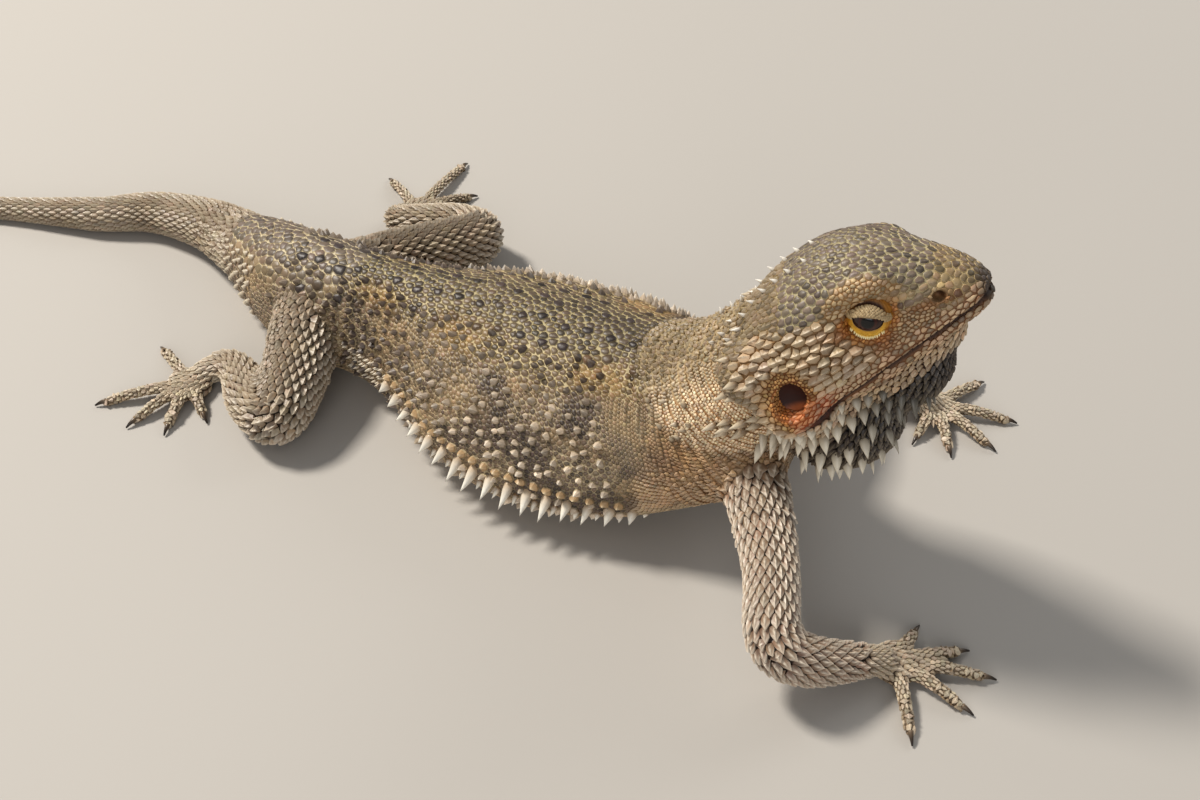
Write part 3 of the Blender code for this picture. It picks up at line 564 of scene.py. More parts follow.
def level_frame(ahead):
    """The level direction across this one, and the direction square to both, as arrays."""
    across = unit(np.cross(ahead, (0.0, 0.0, 1.0)))
    return across, np.cross(across, ahead)


def path_lengths(path):
    """How far along a path each of its rows lies."""
    steps = np.linalg.norm(np.diff(path[:, :3], axis=0), axis=1)
    return np.concatenate([[0], np.cumsum(steps)])


def neighbour_table(edges, count, most=8):
    """For each point the points that share an edge with it, filled up with the point itself."""
    ends = np.concatenate([edges, edges[:, ::-1]])
    ends = ends[np.argsort(ends[:, 0], kind="stable")]
    place = np.arange(len(ends)) - np.searchsorted(ends[:, 0], ends[:, 0])
    table = np.repeat(np.arange(count)[:, None], most, axis=1)
    fits = place < most
    table[ends[fits, 0], place[fits]] = ends[fits, 1]
    return table


def noise(points, wave, seed=0):
    """Smooth values from 0 to 1 that change over about one wave."""
    cells = points / wave
    base = np.floor(cells).astype(np.int64)
    part = cells - base
    part = part * part * (3 - 2 * part)
    total = np.zeros(len(points))
    for corner in itertools.product((0, 1), repeat=3):
        key = (base + np.array(corner)) @ np.array([7919, 104729, 1299709]) + seed * 15485863
        key = (key ^ (key >> 13)) * 1274126177 & 0x7FFFFFFF
        value = ((key ^ (key >> 16)) & 0xFFFF) / 0xFFFF
        total += value * np.prod(np.where(corner, part, 1 - part), axis=1)
    return total


def ramp(values, low, high):
    """0 at low and 1 at high, smooth between; low may be the larger."""
    t = np.clip((np.asarray(values) - low) / (high - low), 0.0, 1.0)
    return t * t * (3 - 2 * t)


def hump(values, middle, width):
    """1 at the middle, falling off smoothly on both sides."""
    return np.exp(-(((values - middle) / width) ** 2))


# ---------------------------------------------------------------- where a point of the skin lies
def in_frame(points, matrix):
    """Points in the frame that the matrix leads out of."""
    frame = np.array(matrix)
    return (points - frame[:3, 3]) @ frame[:3, :3]


def head_place(points):
    """Points in the head's own frame."""
    return in_frame(points, head_matrix())


def head_way(*way):
    """A direction of the head's own frame in the part's frame."""
    return np.array(head_matrix())[:3, :3] @ np.array(way, float)


def head_spot(*place):
    """A place of the head's own frame in the part's frame."""
    return head_way(*place) + np.array(head_matrix())[:3, 3]


def mirrored(places):
    """Places in the head's frame, with those of its right side laid over its left."""
    return np.abs(places) * (0, 1, 0) + places * (1, 0, 1)


def nostril_share(places, side, radii):
    """Distance from a nostril's middle, in these radii."""
    return np.linalg.norm((places - np.array(NOSTRIL_MIDDLE) * (1, side, 1)) / radii, axis=1)


def ear_local(points, side):
    """Points in the frame of an ear, and their distances from its axis in radii."""
    local = in_frame(points, ear_frame(side, EAR_FLOOR))
    return local, np.hypot(local[:, 0] / EAR_RADII[0], local[:, 1] / EAR_RADII[1])


def mouth_height(x):
    """Height of the mouth line in the head's frame."""
    return MOUTH_FRONT[2] - math.tan(math.radians(MOUTH_RISE)) * (MOUTH_FRONT[0] - x)


def tubes():
    """The middle line and radius of every round limb of the body, close together."""
    found = {"neck": blended(NECK, 8), "tail": blended(TAIL, 10)}
    for side in ("right", "left"):
        found[f"foreleg_{side}"] = blended(FORELEGS[side], 8)
        found[f"hindleg_{side}"] = blended(HINDLEGS[side], 8)
    for foot, ((x, y), _, tips) in FEET.items():
        for digit, tip in enumerate(tips, 1):
            found[f"{foot}_{digit}"] = blended(digit_rows(x, y, tip), 6)
    return found


def sections_at(x, table=TRUNK):
    """The section's numbers at each x: middle, half width, top, bottom and level of the widest line."""
    rows = blended(table, STEPS)
    return [np.interp(x, rows[:, 0], rows[:, k]) for k in range(1, 6)]


def section_share(points, table=TRUNK):
    """How far out of the sections' middle each point lies, where 1 is their surface."""
    middle, half, top, bottom, level = sections_at(points[:, 0], table)
    up = points[:, 2] - level
    reach = np.where(up > 0, top - level, level - bottom)
    return np.hypot((points[:, 1] - middle) / half, up / np.maximum(reach, 1.0))


def ball_share(places, balls):
    """The same for a union of ellipsoids."""
    off = [(places - np.array(middle)) / np.array(radii) for middle, radii in balls]
    return np.min([np.linalg.norm(ball, axis=1) for ball in off], axis=0)


def labelled(points):
    """For each point the name of the mass that it belongs to, and its place along that tube."""
    places = head_place(points)
    names = ["trunk", "skull", "beard"]
    faces = [(middle, radii) for middle, radii, _ in FACE_MASSES]
    past_trunk = np.maximum(points[:, 0] - TRUNK[-1][0], TRUNK[0][0] - points[:, 0])
    behind_skull = np.maximum(SKULL[0][0] - places[:, 0], 0)
    skull = section_share(places, SKULL) + behind_skull / 6
    shares = [
        section_share(points) + np.maximum(past_trunk, 0) / 8,
        np.minimum(skull, ball_share(mirrored(places), faces)),
        ball_share(places, BEARD_MASSES),
    ]
    along = [np.zeros(len(points))] * 3
    for name, path in tubes().items():
        best, place = np.full(len(points), FAR), np.zeros(len(points))
        for k, (x, y, z, radius) in enumerate(path):
            share = np.linalg.norm(points - (x, y, z), axis=1) / radius
            nearer = share < best
            best[nearer], place[nearer] = share[nearer], k
        names.append(name)
        shares.append(best)
        along.append(place / (len(path) - 1))
    for foot, ((x, y), (long, wide), _) in FEET.items():
        names.append(foot)
        shares.append(np.linalg.norm((points - (x, y, SOLE_LEVEL)) / (long, wide, SOLE_DEPTH), axis=1))
        along.append(np.zeros(len(points)))
    nearest = np.argmin(shares, axis=0)
    return np.array(names)[nearest], np.array(along)[nearest, np.arange(len(points))]


def lie_of_coat(points, names, along, places):
    """The direction in which the scales at each point lie, before it is laid into the surface."""
    ways = np.tile((-1.0, 0.0, 0.0), (len(points), 1))
    ways[names == "skull"] = head_way(-1.0, 0.0, -0.1)
    ways[names == "beard"] = head_way(-0.8, 0.0, -0.55)
    lip = (names != "trunk") & (np.abs(places[:, 2] - mouth_height(places[:, 0])) < 5) & (places[:, 0] > 6)
    ways[lip] = head_way(-1.0, 0.0, -math.tan(math.radians(MOUTH_RISE)))
    for name, path in tubes().items():
        here = names == name
        steps = np.gradient(path[:, :3], axis=0)
        place = np.rint(along[here] * (len(path) - 1)).astype(int)
        ways[here] = unit(steps[place]) * (-1 if name == "neck" else 1)
    for foot, ((x, y), _, tips) in FEET.items():
        here = names == foot
        ahead = np.mean(tips, axis=0) - (x, y)
        ways[here] = (*ahead / np.linalg.norm(ahead), -0.2)
    return ways


# ---------------------------------------------------------------- shape of the skin
def pressed_ear(skin, side):
    """An open ear: a short round pit down to the drum, with a soft rim."""
    local, ring = ear_local(skin.points, side)
    near = (local[:, 2] > -3) & (ring < 2.2)
    down = ramp(ring, 1.05, 0.8) * near
    lift = 0.45 * hump(ring, 1.25, 0.2) * near
    shift = down * (EAR_SKIN_LEVEL - local[:, 2]) + lift
    skin.points += shift[:, None] * np.array(ear_frame(side, EAR_FLOOR))[:3, 2]


def pressed_socket(skin, side):
    """The skin round the eye sinks to a pit that the lids close."""
    places = head_place(skin.points)
    x, y, z = EYE_MIDDLE
    off = places - (x, side * y, z)
    ring = np.hypot(off[:, 0] / SOCKET_RADII[0], off[:, 2] / SOCKET_RADII[1])
    level = off[:, 1] * side
    near = (level > -3) & (ring < 3)
    hollow = 0.9 * hump(ring, 1.1, 0.55) * ramp(off[:, 2], 6.5, 1.0)
    sunk = ramp(ring, 1.0, 0.75)
    shift = np.where(near, -hollow - sunk * np.maximum(level - 1.2 - hollow, 0), 0)
    skin.points += (side * shift)[:, None] * head_way(0, 1, 0)


def pressed_nostril(skin, side):
    """A short pit at the nostril, within a soft rim."""
    off = nostril_share(head_place(skin.points), side, NOSTRIL_PIT)
    depth = 2.2 * ramp(off, 0.95, 0.4) - 0.45 * hump(off, 1.4, 0.35)
    skin.points -= depth[:, None] * skin.normals


def lips(skin):
    """The closed mouth: a thin crease between two rolled lips, from the snout to below the ear."""
    places = head_place(skin.points)
    slope = math.radians(MOUTH_RISE)
    off = (places[:, 2] - mouth_height(places[:, 0])) * math.cos(slope)
    reach = ramp(places[:, 0], 5.0, 10.0) * (np.abs(off) < 8)
    crease = 1.1 * hump(off, 0.0, 0.45)
    roll = 0.4 * hump(off, 1.7, 1.1) + 0.5 * hump(off, -1.9, 1.3)
    skin.points += (reach * (roll - crease))[:, None] * skin.normals


def folds(skin, names, points):
    """Fine upright folds of the neck, slack skin at the shoulder and groin, and a slightly uneven trunk."""
    path = tubes()["neck"]
    length = np.linalg.norm(np.diff(path[:, :3], axis=0), axis=1).sum()
    warp = 3.0 * noise(points, 9.0, 1)
    climb = (points - path[0, :3]) @ unit(path[-1, :3] - path[0, :3])
    neck = np.isin(names, ("neck", "trunk")) * ramp(climb, 4, 12) * ramp(climb, length + 6, length - 2)
    shift = 0.55 * np.sin(math.tau * (climb + warp) / NECK_FOLD) * skin.smoothed(neck * 1.0, 6)
    shift += 0.8 * (noise(points, 11.0, 2) - 0.5) * skin.smoothed((names == "trunk") * 1.0, 8)
    for name in ("right", "left"):
        for legs in (FORELEGS, HINDLEGS):
            x, y, z, radius = legs[name][1]
            gap = np.linalg.norm(points - (x, y, z), axis=1)
            pull = np.sin(math.tau * (gap + 1.5 * noise(points, 7.0, 3)) / LIMB_FOLD)
            shift += 0.3 * pull * hump(gap, radius + 2.0, 3.5)
    skin.points += shift[:, None] * skin.normals


def shaped_skin():
    """The skin with its folds, and what each point of it belongs to."""
    skin = Surface(finer_head(flesh()))
    names, along = labelled(skin.points)
    lips(skin)
    skin.update()
    folds(skin, names, skin.points)
    for side in (-1, 1):
        pressed_socket(skin, side)
        pressed_ear(skin, side)
        skin.update()
        pressed_nostril(skin, side)
    skin.update()
    fine = np.isin(names, ("skull", "beard")) | np.char.startswith(names, "hand")
    depth = skin.smoothed(np.where(fine | np.char.startswith(names, "foot"), FINE_COAT, COAT), 4)
    skin.points -= depth[:, None] * skin.normals
    skin.points[:, 2] = np.maximum(skin.points[:, 2], SKIN_LIFT)
    skin.update()
    return skin, names, along


# ---------------------------------------------------------------- kinds of scale and their colours
# Size across, length over width, height of the dome, of the keel and of the free tip and how far that tip
# runs out, all as shares of the size; then the colours of the plate, the skin between and the tip.
KINDS = {
    "crown": (1.75, 1.3, 0.1, 0.14, 0.06, 0.0, (114, 101, 90), (198, 186, 150), (158, 148, 134)),
    "snout": (1.6, 1.1, 0.12, 0.08, 0.04, 0.0, (128, 109, 84), (194, 174, 132), (170, 152, 126)),
    # The nose's dark plates are partly the dark scales of the snout's tip and partly painted shade on the
    # side turned from the light.
    "nose": (1.5, 1.0, 0.12, 0.0, 0.0, 0.0, (74, 64, 56), (104, 88, 70), (110, 98, 84)),
    "nostril": (0.8, 1.3, 0.2, 0.0, 0.0, 0.0, (172, 146, 110), (142, 112, 78), (196, 172, 136)),
    "brow": (1.0, 1.4, 0.18, 0.12, 0.05, 0.0, (184, 158, 122), (176, 138, 92), (210, 192, 158)),
    "orbit": (0.75, 1.2, 0.22, 0.0, 0.0, 0.0, (188, 134, 70), (160, 98, 38), (208, 164, 104)),
    "loreal": (0.85, 1.5, 0.18, 0.1, 0.1, 0.0, (172, 147, 114), (142, 102, 62), (200, 182, 150)),
    "cheek": (2.4, 1.3, 0.1, 0.32, 0.2, 0.2, (180, 155, 124), (158, 122, 80), (226, 212, 188)),
    "stripe": (1.15, 2.0, 0.16, 0.12, 0.1, 0.05, (194, 146, 112), (176, 94, 54), (224, 194, 168)),
    "lip": (1.5, 1.7, 0.14, 0.1, 0.06, 0.0, (192, 164, 132), (150, 108, 74), (218, 200, 172)),
    "ear": (0.75, 1.1, 0.28, 0.0, 0.0, 0.0, (180, 140, 88), (132, 82, 36), (208, 180, 134)),
    "jaw": (1.55, 1.3, 0.16, 0.3, 0.22, 0.35, (166, 138, 108), (78, 50, 34), (228, 214, 188)),
    "beard": (1.7, 1.5, 0.15, 0.4, 0.3, 0.5, (40, 32, 30), (10, 8, 8), (142, 130, 112)),
    "throat": (1.4, 1.3, 0.2, 0.3, 0.25, 0.4, (40, 33, 31), (14, 11, 11), (130, 118, 104)),
    "nape": (1.7, 1.3, 0.14, 0.22, 0.14, 0.1, (136, 118, 94), (186, 166, 128), (204, 190, 164)),
    "neck": (0.95, 1.1, 0.26, 0.0, 0.06, 0.0, (240, 218, 184), (206, 166, 122), (244, 234, 212)),
    "back": (2.05, 1.2, 0.1, 0.09, 0.05, 0.0, (92, 79, 64), (194, 180, 140), (132, 120, 100)),
    "side": (1.8, 1.15, 0.12, 0.09, 0.05, 0.0, (114, 97, 76), (210, 194, 154), (168, 152, 124)),
    "flank": (1.3, 1.1, 0.15, 0.1, 0.06, 0.0, (120, 102, 84), (204, 188, 156), (188, 174, 150)),
    "belly": (1.5, 1.1, 0.12, 0.1, 0.08, 0.2, (190, 168, 134), (140, 110, 78), (222, 208, 180)),
    "chest": (1.15, 1.15, 0.18, 0.2, 0.2, 0.4, (180, 154, 122), (140, 98, 64), (230, 216, 192)),
    "rump": (2.6, 1.1, 0.1, 0.08, 0.06, 0.1, (108, 95, 83), (220, 206, 174), (156, 142, 124)),
    "tail": (2.3, 1.25, 0.1, 0.3, 0.18, 0.4, (140, 123, 104), (150, 129, 102), (210, 198, 174)),
    # On the limbs the skin between the overlapping scales is dark: partly its own colour, partly painted
    # shade under their free edges.
    "arm": (2.7, 1.0, 0.04, 0.32, 0.3, 0.7, (128, 101, 81), (60, 40, 29), (240, 228, 208)),
    "thigh": (2.7, 1.0, 0.1, 0.5, 0.3, 0.45, (138, 119, 98), (70, 53, 40), (216, 204, 184)),
    "ham": (1.75, 1.05, 0.12, 0.26, 0.16, 0.35, (132, 114, 94), (80, 62, 47), (204, 190, 167)),
    "shank": (2.2, 1.05, 0.08, 0.36, 0.28, 0.6, (134, 115, 94), (76, 58, 44), (216, 203, 181)),
    "hand": (1.55, 1.0, 0.1, 0.3, 0.24, 0.6, (156, 137, 114), (90, 70, 54), (232, 220, 197)),
    "digit": (1.45, 1.0, 0.16, 0.24, 0.14, 0.3, (186, 170, 147), (146, 128, 106), (226, 214, 192)),
    "sole": (1.3, 1.0, 0.25, 0.1, 0.0, 0.0, (176, 154, 122), (130, 104, 76), (200, 184, 154)),
}


def kind_of(skin, names, along):
    """The kind of scale that grows at each point of the skin; each line lies over those before it."""
    kinds = np.full(len(skin.points), "flank", dtype="U8")

    def put(kind, where):
        kinds[where] = kind

    body_kinds(put, skin, names)
    limb_kinds(put, skin, names, along)
    head_kinds(put, skin, (names == "skull") | (names == "beard"))
    return kinds


def body_kinds(put, skin, names):
    """The kinds on trunk, neck and tail."""
    points, normals = skin.points, skin.normals
    middle, half, _, _, level = sections_at(points[:, 0])
    across = np.abs(points[:, 1] - middle) / half
    trunk = names == "trunk"
    neck = names == "neck"
    put("side", trunk & (across < 0.55))
    put("back", trunk & (across < 0.3))
    put("rump", trunk & (points[:, 0] < -42) & (across < 0.75))
    put("nape", trunk & (points[:, 0] > 74) & (normals[:, 2] > 0.35))
    put("chest", trunk & (points[:, 0] > 66) & (normals[:, 2] <= 0.35))
    put("belly", trunk & (points[:, 2] < level - 2) & (normals[:, 2] < -0.35))
    put("neck", neck)
    put("nape", neck & (normals @ head_way(0.0, 0.0, 1.0) > 0.55))
    put("chest", neck & (normals[:, 0] > 0.2) & (head_place(points)[:, 2] < -25))
    put("tail", names == "tail")


def limb_kinds(put, skin, names, along):
    """The kinds on legs, feet and digits."""
    normals = skin.normals
    for side in ("right", "left"):
        fore, hind = names == f"foreleg_{side}", names == f"hindleg_{side}"
        put("arm", fore)
        put("hand", fore & (along > 0.87))
        put("thigh", hind)
        put("ham", hind & (normals[:, 0] < -0.25))
        put("shank", hind & (along > 0.48))
        put("hand", hind & (along > 0.9))
    for foot, (_, _, tips) in FEET.items():
        put("hand", names == foot)
        for digit in range(1, len(tips) + 1):
            here = names == f"{foot}_{digit}"
            put("digit", here)
            put("hand", here & (along < 0.2))
        put("sole", np.char.startswith(names, foot) & (normals[:, 2] < -0.3))


def head_kinds(put, skin, head):
    """The kinds on the skull and the beard."""
    places = head_place(skin.points)
    x, z = places[:, 0], places[:, 2]
    out = np.abs(skin.normals @ head_way(0, 1, 0))
    above = (z - mouth_height(x)) * math.cos(math.radians(MOUTH_RISE))
    ring = np.hypot(x - EYE_MIDDLE[0], z - EYE_MIDDLE[2])
    put("crown", head)
    put("nape", head & (x < 9))
    put("cheek", head & (out > 0.5) & (x > -6) & (x < 27) & (z < 10))
    put("snout", head & (x > 44))
    put("loreal", head & (x > 27) & (x < 43) & (z < 4.5) & (out > 0.35))
    put("throat", head & (above < 0))
    put("beard", head & (above < 0) & (out > 0.25) & (x < 34))
    put("jaw", head & (above < 0) & (above > -7.5))
    put("neck", head & (x < -3) & (above < 6) & (above > -3))
    put("ear", head & (ear_ring(places) < 1.9))
    put("stripe", head & (above > 0) & (above < stripe_width(x)) & (x > 3))
    put("lip", head & (above > -4.0) & (above < 4.0) & (x > 14))
    put("brow", head & (ring < 10.5) & (z > EYE_MIDDLE[2] + 3.5) & (out > 0.25))
    put("orbit", head & (ring < 6.9) & (z < EYE_MIDDLE[2] + 2.5))
    put("nostril", head & (nostril_share(mirrored(places), 1, NOSTRIL_SCALES) < 2.3))
    # The snout's tip: dark plates, partly its own dark scales, partly painted shade.
    put("nose", head & (x > 52.0) & (above > -2.0) & (above < 8.0))


def stripe_width(x):
    """Height of the red stripe over the mouth line, which narrows forward."""
    return 7.5 - 0.19 * x


def ear_ring(places):
    """Distance from the ear's middle, seen from the side, in radii."""
    x, _, z = EAR_MIDDLE
    return np.hypot((places[:, 0] - x) / EAR_RADII[0], (places[:, 2] - z) / EAR_RADII[1])


def tone(colour):
    """A colour in linear light from its screen numbers."""
    share = np.asarray(colour, float) / 255
    return np.where(share <= 0.04045, share / 12.92, ((share + 0.055) / 1.055) ** 2.4)


def painted(skin, names, along, kinds):
    """Shape numbers and colours of the coat at every point, smooth over the skin, with the markings and the
    painted shade of the face.
    """
    table = {kind: [*row[:6], *tone(row[6]), *tone(row[7]), *tone(row[8])] for kind, row in KINDS.items()}
    values = skin.smoothed(np.array([table[kind] for kind in kinds.tolist()]), 5)
    values[:, 0] *= 1 - 0.5 * along * (names == "tail")
    plate, between, tip = (values[:, part] for part in (PLATE, BETWEEN, TIP))
    for where, colour, share in (*body_marks(skin, names), *head_marks(skin, names)):
        amount = (share * where)[:, None]
        plate[:] = plate * (1 - amount) + amount * tone(colour)
        # Only marks above 0.9, the painted shade of the mouth line and the nostrils, fill the skin between
        # as well.
        deep = amount * (1.0 if share > 0.9 else 0.6)
        between[:] = between * (1 - deep) + deep * tone(colour)
        tip[:] = tip * (1 - 0.5 * amount) + 0.5 * amount * tone(colour)
    return values


def body_marks(skin, names):
    """Where, in which colour and how strongly the body's coat departs from its kinds' own colours."""
    points = skin.points
    x = points[:, 0]
    middle, half = sections_at(x)[:2]
    trunk = skin.smoothed((names == "trunk") * (skin.normals[:, 2] > -0.3) * 1.0, 4)
    across = np.abs(points[:, 1] - middle) / half
    spots = np.zeros(len(points))
    trunk_middle = [row[:2] for row in TRUNK]
    for spot_x, spot_y in back_spots():
        off_y = points[:, 1] - spot_y - np.interp(spot_x, *zip(*trunk_middle))
        spots = np.maximum(spots, ramp(np.hypot(x - spot_x, off_y), 2.1, 1.3))
    yield spots * trunk, SPOT, 0.9
    flank = ramp(across, 0.45, 0.62)
    blotch = ramp(noise(points, 9.0, 5) + 0.35 * noise(points, 3.5, 6), 0.6, 0.85)
    yield blotch * trunk * flank * ramp(x, -20, 10), BLOTCH, 0.82
    pale = ramp(noise(points, 8.0, 12) + 0.3 * noise(points, 3.0, 13), 0.62, 0.9)
    yield pale * trunk * flank, PALE, 0.32
    dark = ramp(noise(points, 14.0, 8), 0.5, 0.75)
    yield dark * trunk * ramp(x, 20, 60) * ramp(across, 0.75, 0.5), SHADE, 0.7
    warm = ramp(noise(points, 15.0, 9), 0.35, 0.65)
    yield warm * trunk * hump(across, 0.46, 0.15) * ramp(x, -50, -30), OCHRE, 0.36
    yield trunk * ramp(x, 62, 76) * ramp(across, 0.4, 0.7), SHOULDER, 0.5
    along = np.linalg.norm(points[:, :2] - TAIL[0][:2], axis=1)
    yield (names == "tail") * ramp(np.sin(along / 4.4 + 1.0), 0.2, 0.9), BROWN, 0.35


def head_marks(skin, names):
    """The same for ear, mouth, nostrils, eyes and brow, with painted shade in the mouth line, the nostrils,
    the eye's corners and under the brow, then a broad cast over all of the coat.
    """
    places = head_place(skin.points)
    x, z = places[:, 0], places[:, 2]
    head = np.isin(names, ("skull", "beard"))
    yield head * ramp(ear_ring(places), 1.9, 1.2) * ramp(z, -4.0, -9.0), EAR_ORANGE, 0.7
    # The mouth line's crease is painted shade.
    yield head * hump(z - mouth_height(x), 0.0, 0.8) * ramp(x, 5.0, 9.0), MOUTH_SHADE, 0.97
    for side in (-1, 1):
        # The nostrils' openings are painted shade.
        yield ramp(nostril_share(places, side, NOSTRIL_OPENING), 1.3, 1.0), NOSTRIL_SHADE, 0.97
    # Orange round the eye, partly its colour, partly painted shade of the eye's corners.
    for (at_x, at_z), wide in EYE_MARKS:
        gap = np.hypot(x - EYE_MIDDLE[0] - at_x, z - EYE_MIDDLE[2] - at_z)
        yield head * ramp(gap, 1.5 * wide, 0.4 * wide), EYE_ORANGE_AND_SHADE, 0.6
    brow = z - (8.8 - 0.13 * (x - 30))
    reach = head * ramp(x, 24, 29) * ramp(x, 51, 46) * (np.abs(skin.normals @ head_way(0, 1, 0)) > 0.3)
    yield reach * hump(brow, 0.0, 1.7), BROW_PALE, 0.6
    # Brown line under the brow, in front of the eye: partly its colour, partly painted shade under the
    # overhang.
    yield reach * hump(brow, -3.6, 1.2) * ramp(x, 36, 38.5), BROW_BROWN_AND_SHADE, 0.6
    yield ramp(noise(skin.points, 22.0, 4), 0.3, 0.8), BROWN, 0.14


def back_spots():
    """Places of the dark plates: two rows on each side of the midline."""
    for row, lateral in enumerate((4.4, 11.5)):
        for x in np.arange(-60.0, 76.0, 7.0):
            for side in (-1, 1):
                shift = math.sin(2.3 * x + 1.7 * row)
                yield x + 3.5 * row + 0.8 * side + 0.7 * shift, side * (lateral + 0.9 * shift)


# ---------------------------------------------------------------- where the scales stand
class Roots:
    """Places on the skin for scales, each with the triangle it lies in and the spacing it asks for."""

    def __init__(self, skin, values):
        self.skin, self.values = skin, values
        self.tree = skin.tree()
        self.rows = []

    def at(self, places, triangles):
        """Values of the skin at places inside its triangles."""
        corners = self.skin.triangles[triangles]
        a, b, c = (self.skin.points[corners[:, k]] for k in range(3))
        across = np.cross(b - a, c - a)
        whole = np.maximum((across**2).sum(1), 1e-12)
        u = (np.cross(c - b, places - b) * across).sum(1) / whole
        v = (np.cross(a - c, places - c) * across).sum(1) / whole
        shares = np.clip(np.stack([u, v, 1 - u - v], axis=1), 0, 1)[..., None]
        return (self.values[corners] * shares).sum(axis=1)

    def cast(self, starts, ways, reach, growth, order, names=None, allowed=None):
        """Adds the places where rays from inside the body leave it, on the masses that are allowed."""
        for start, way in zip(starts, ways):
            hit, _, index, _ = self.tree.ray_cast(Vector(start), Vector(way), reach)
            if hit is None:
                continue
            if allowed is not None and names[self.skin.triangles[index][0]] not in allowed:
                continue
            self.rows.append((*hit, index, growth, order))

    def scatter(self, number, rng):
        """Adds places at random, evenly over the skin."""
        share = np.cumsum(self.skin.areas)
        chosen = np.searchsorted(share, rng.random(number) * share[-1])
        u, v = rng.random(number), rng.random(number)
        turned = u + v > 1
        u[turned], v[turned] = 1 - u[turned], 1 - v[turned]
        a, b, c = (self.skin.points[self.skin.triangles[chosen, k]] for k in range(3))
        places = a + u[:, None] * (b - a) + v[:, None] * (c - a)
        rows = np.column_stack([places, chosen, np.ones(number), np.full(number, FILLING)])
        self.rows.extend(map(tuple, rows))

    def thinned(self):
        """The places kept: in their order, none nearer to a kept one than its spacing."""
        rows = np.array(self.rows)
        places, triangles, order = rows[:, :3], rows[:, 3].astype(int), rows[:, 5]
        values = self.at(places, triangles)
        own_width = (order == DOMES) | (order == STUDS)
        size = rows[:, 4] * np.where(own_width, 1.0, values[:, 0])
        reach = (np.where(order < FILLING, LAID_REACH, FILL_REACH) * size).tolist()
        spots = places.tolist()
        tree = balanced(spots)
        alive = [True] * len(rows)
        kept = []
        for k in np.argsort(order, kind="stable").tolist():
            if not alive[k]:
                continue
            kept.append(k)
            for _, other, gap in tree.find_range(spots[k], 2.0 * reach[k]):
                if gap < 0.5 * (reach[k] + reach[other]):
                    alive[other] = False
        return places[kept], triangles[kept], size[kept], values[kept], order[kept]


def ring_size(name, share):
    """Width and length of the scales in a tube's ring, at this share of its length."""
    if name == "neck":
        return KINDS["neck"][0], KINDS["neck"][0]
    kind, shrink = "digit", 1.0
    if name == "tail":
        kind, shrink = "tail", 1.0 - 0.45 * share
    elif name.startswith("foreleg"):
        kind, shrink = "arm", 1.0 - 0.4 * ramp(share, 0.8, 0.95)
    elif name.startswith("hindleg"):
        kind, shrink = "thigh", 1.0 - 0.25 * ramp(share, 0.8, 0.95)
    return KINDS[kind][0] * shrink, KINDS[kind][0] * KINDS[kind][1] * shrink


def tube_roots(roots, names, name, path):
    """Staggered rings of places round a tube."""
    allowed = ("neck", "trunk") if name == "neck" else (name,)
    lengths = path_lengths(path)
    here, ring = RINGS_FROM.get(name, 0.2) * lengths[-1], 0
    while here < lengths[-1]:
        middle = row_at(path, lengths, here)
        ahead = (row_at(path, lengths, here + 1.0) - middle)[:3]
        if here + 1.0 > lengths[-1]:
            ahead = path[-1, :3] - path[-2, :3]
        across, upward = level_frame(unit(ahead))
        wide, long = ring_size(name, here / lengths[-1])
        count = max(5, round(math.tau * middle[3] / wide))
        angles = math.tau * (np.arange(count) + 0.5 * (ring % 2)) / count
        ways = np.cos(angles)[:, None] * upward + np.sin(angles)[:, None] * across
        roots.cast([middle[:3]] * count, ways, 3.5 * middle[3], 1.0, RINGS, names, allowed)
        here += ROW_STEP * long
        ring += 1


def field_roots(roots, names, rng):
    """All roots: rows on the lips, plates and studs on the trunk, rings on tubes, and a random fill."""
    lip_roots(roots)
    trunk_tubercles(roots, names, rng)
    for name, path in tubes().items():
        tube_roots(roots, names, name, path)
    roots.scatter(FILL, rng)


def lip_roots(roots):
    """Rows of long scales that follow the mouth line, on the lips and over the cheek."""
    for side in (-1, 1):
        for height, step, growth, first, last in LIP_ROWS:
            for x in np.arange(first, last, step):
                level = mouth_height(min(x, 50.0)) + height
                start, way = (x, 0.0, level), (0.0, side, 0.0)
                if x > LIP_BEND:
                    turn = (x - LIP_BEND) / LIP_TURN
                    if turn > math.pi / 2:
                        break
                    start = (LIP_BEND, 0.0, mouth_height(LIP_BEND + LIP_TURN * math.sin(turn)) + height)
                    way = (math.sin(turn), side * math.cos(turn), 0.0)
                roots.cast([head_spot(*start)], [head_way(*way)], 40.0, growth, LIPS)


def trunk_tubercles(roots, names, rng):
    """The dark plates beside the midline, studs in rows over the flanks, and domes over the fringe."""
    starts = [(x, y, 25.0) for x, y in back_spots()]
    roots.cast(starts, [(0.0, 0.0, 1.0)] * len(starts), 60.0, DARK_PLATE / KINDS["back"][0], PLATES)
    for k, x in enumerate(np.arange(-66.0, 72.0, STUD_STEP)):
        middle, half, top, _, level = (float(v) for v in sections_at(x))
        for side in (-1, 1):
            for j in range(STUD_ROWS):
                angle = math.radians(-8.0 + STUD_TURN * (j + 0.5 * (k % 2)) + rng.normal(0, 1.2))
                y = side * half * math.cos(angle)
                z = (top - level) * math.sin(angle)
                if abs(y) < 0.34 * half or rng.random() < 0.12 + 0.5 * ramp(x, -40.0, -56.0):
                    continue
                start = (x + rng.normal(0, 0.6), middle, level)
                wide = rng.uniform(*STUD_WIDTHS)
                roots.cast([start], [unit(np.array((0.0, y, z)))], 70.0, wide, STUDS, names, ("trunk",))
        if FRINGE_FROM < x < FRINGE_TO:
            for side in (-1, 1):
                start, way = (x, 0.0, DOME_LEVEL), (0.0, side, 0.0)
                roots.cast([start], [way], 60.0, DOME_WIDTH, DOMES, names, ("trunk",))


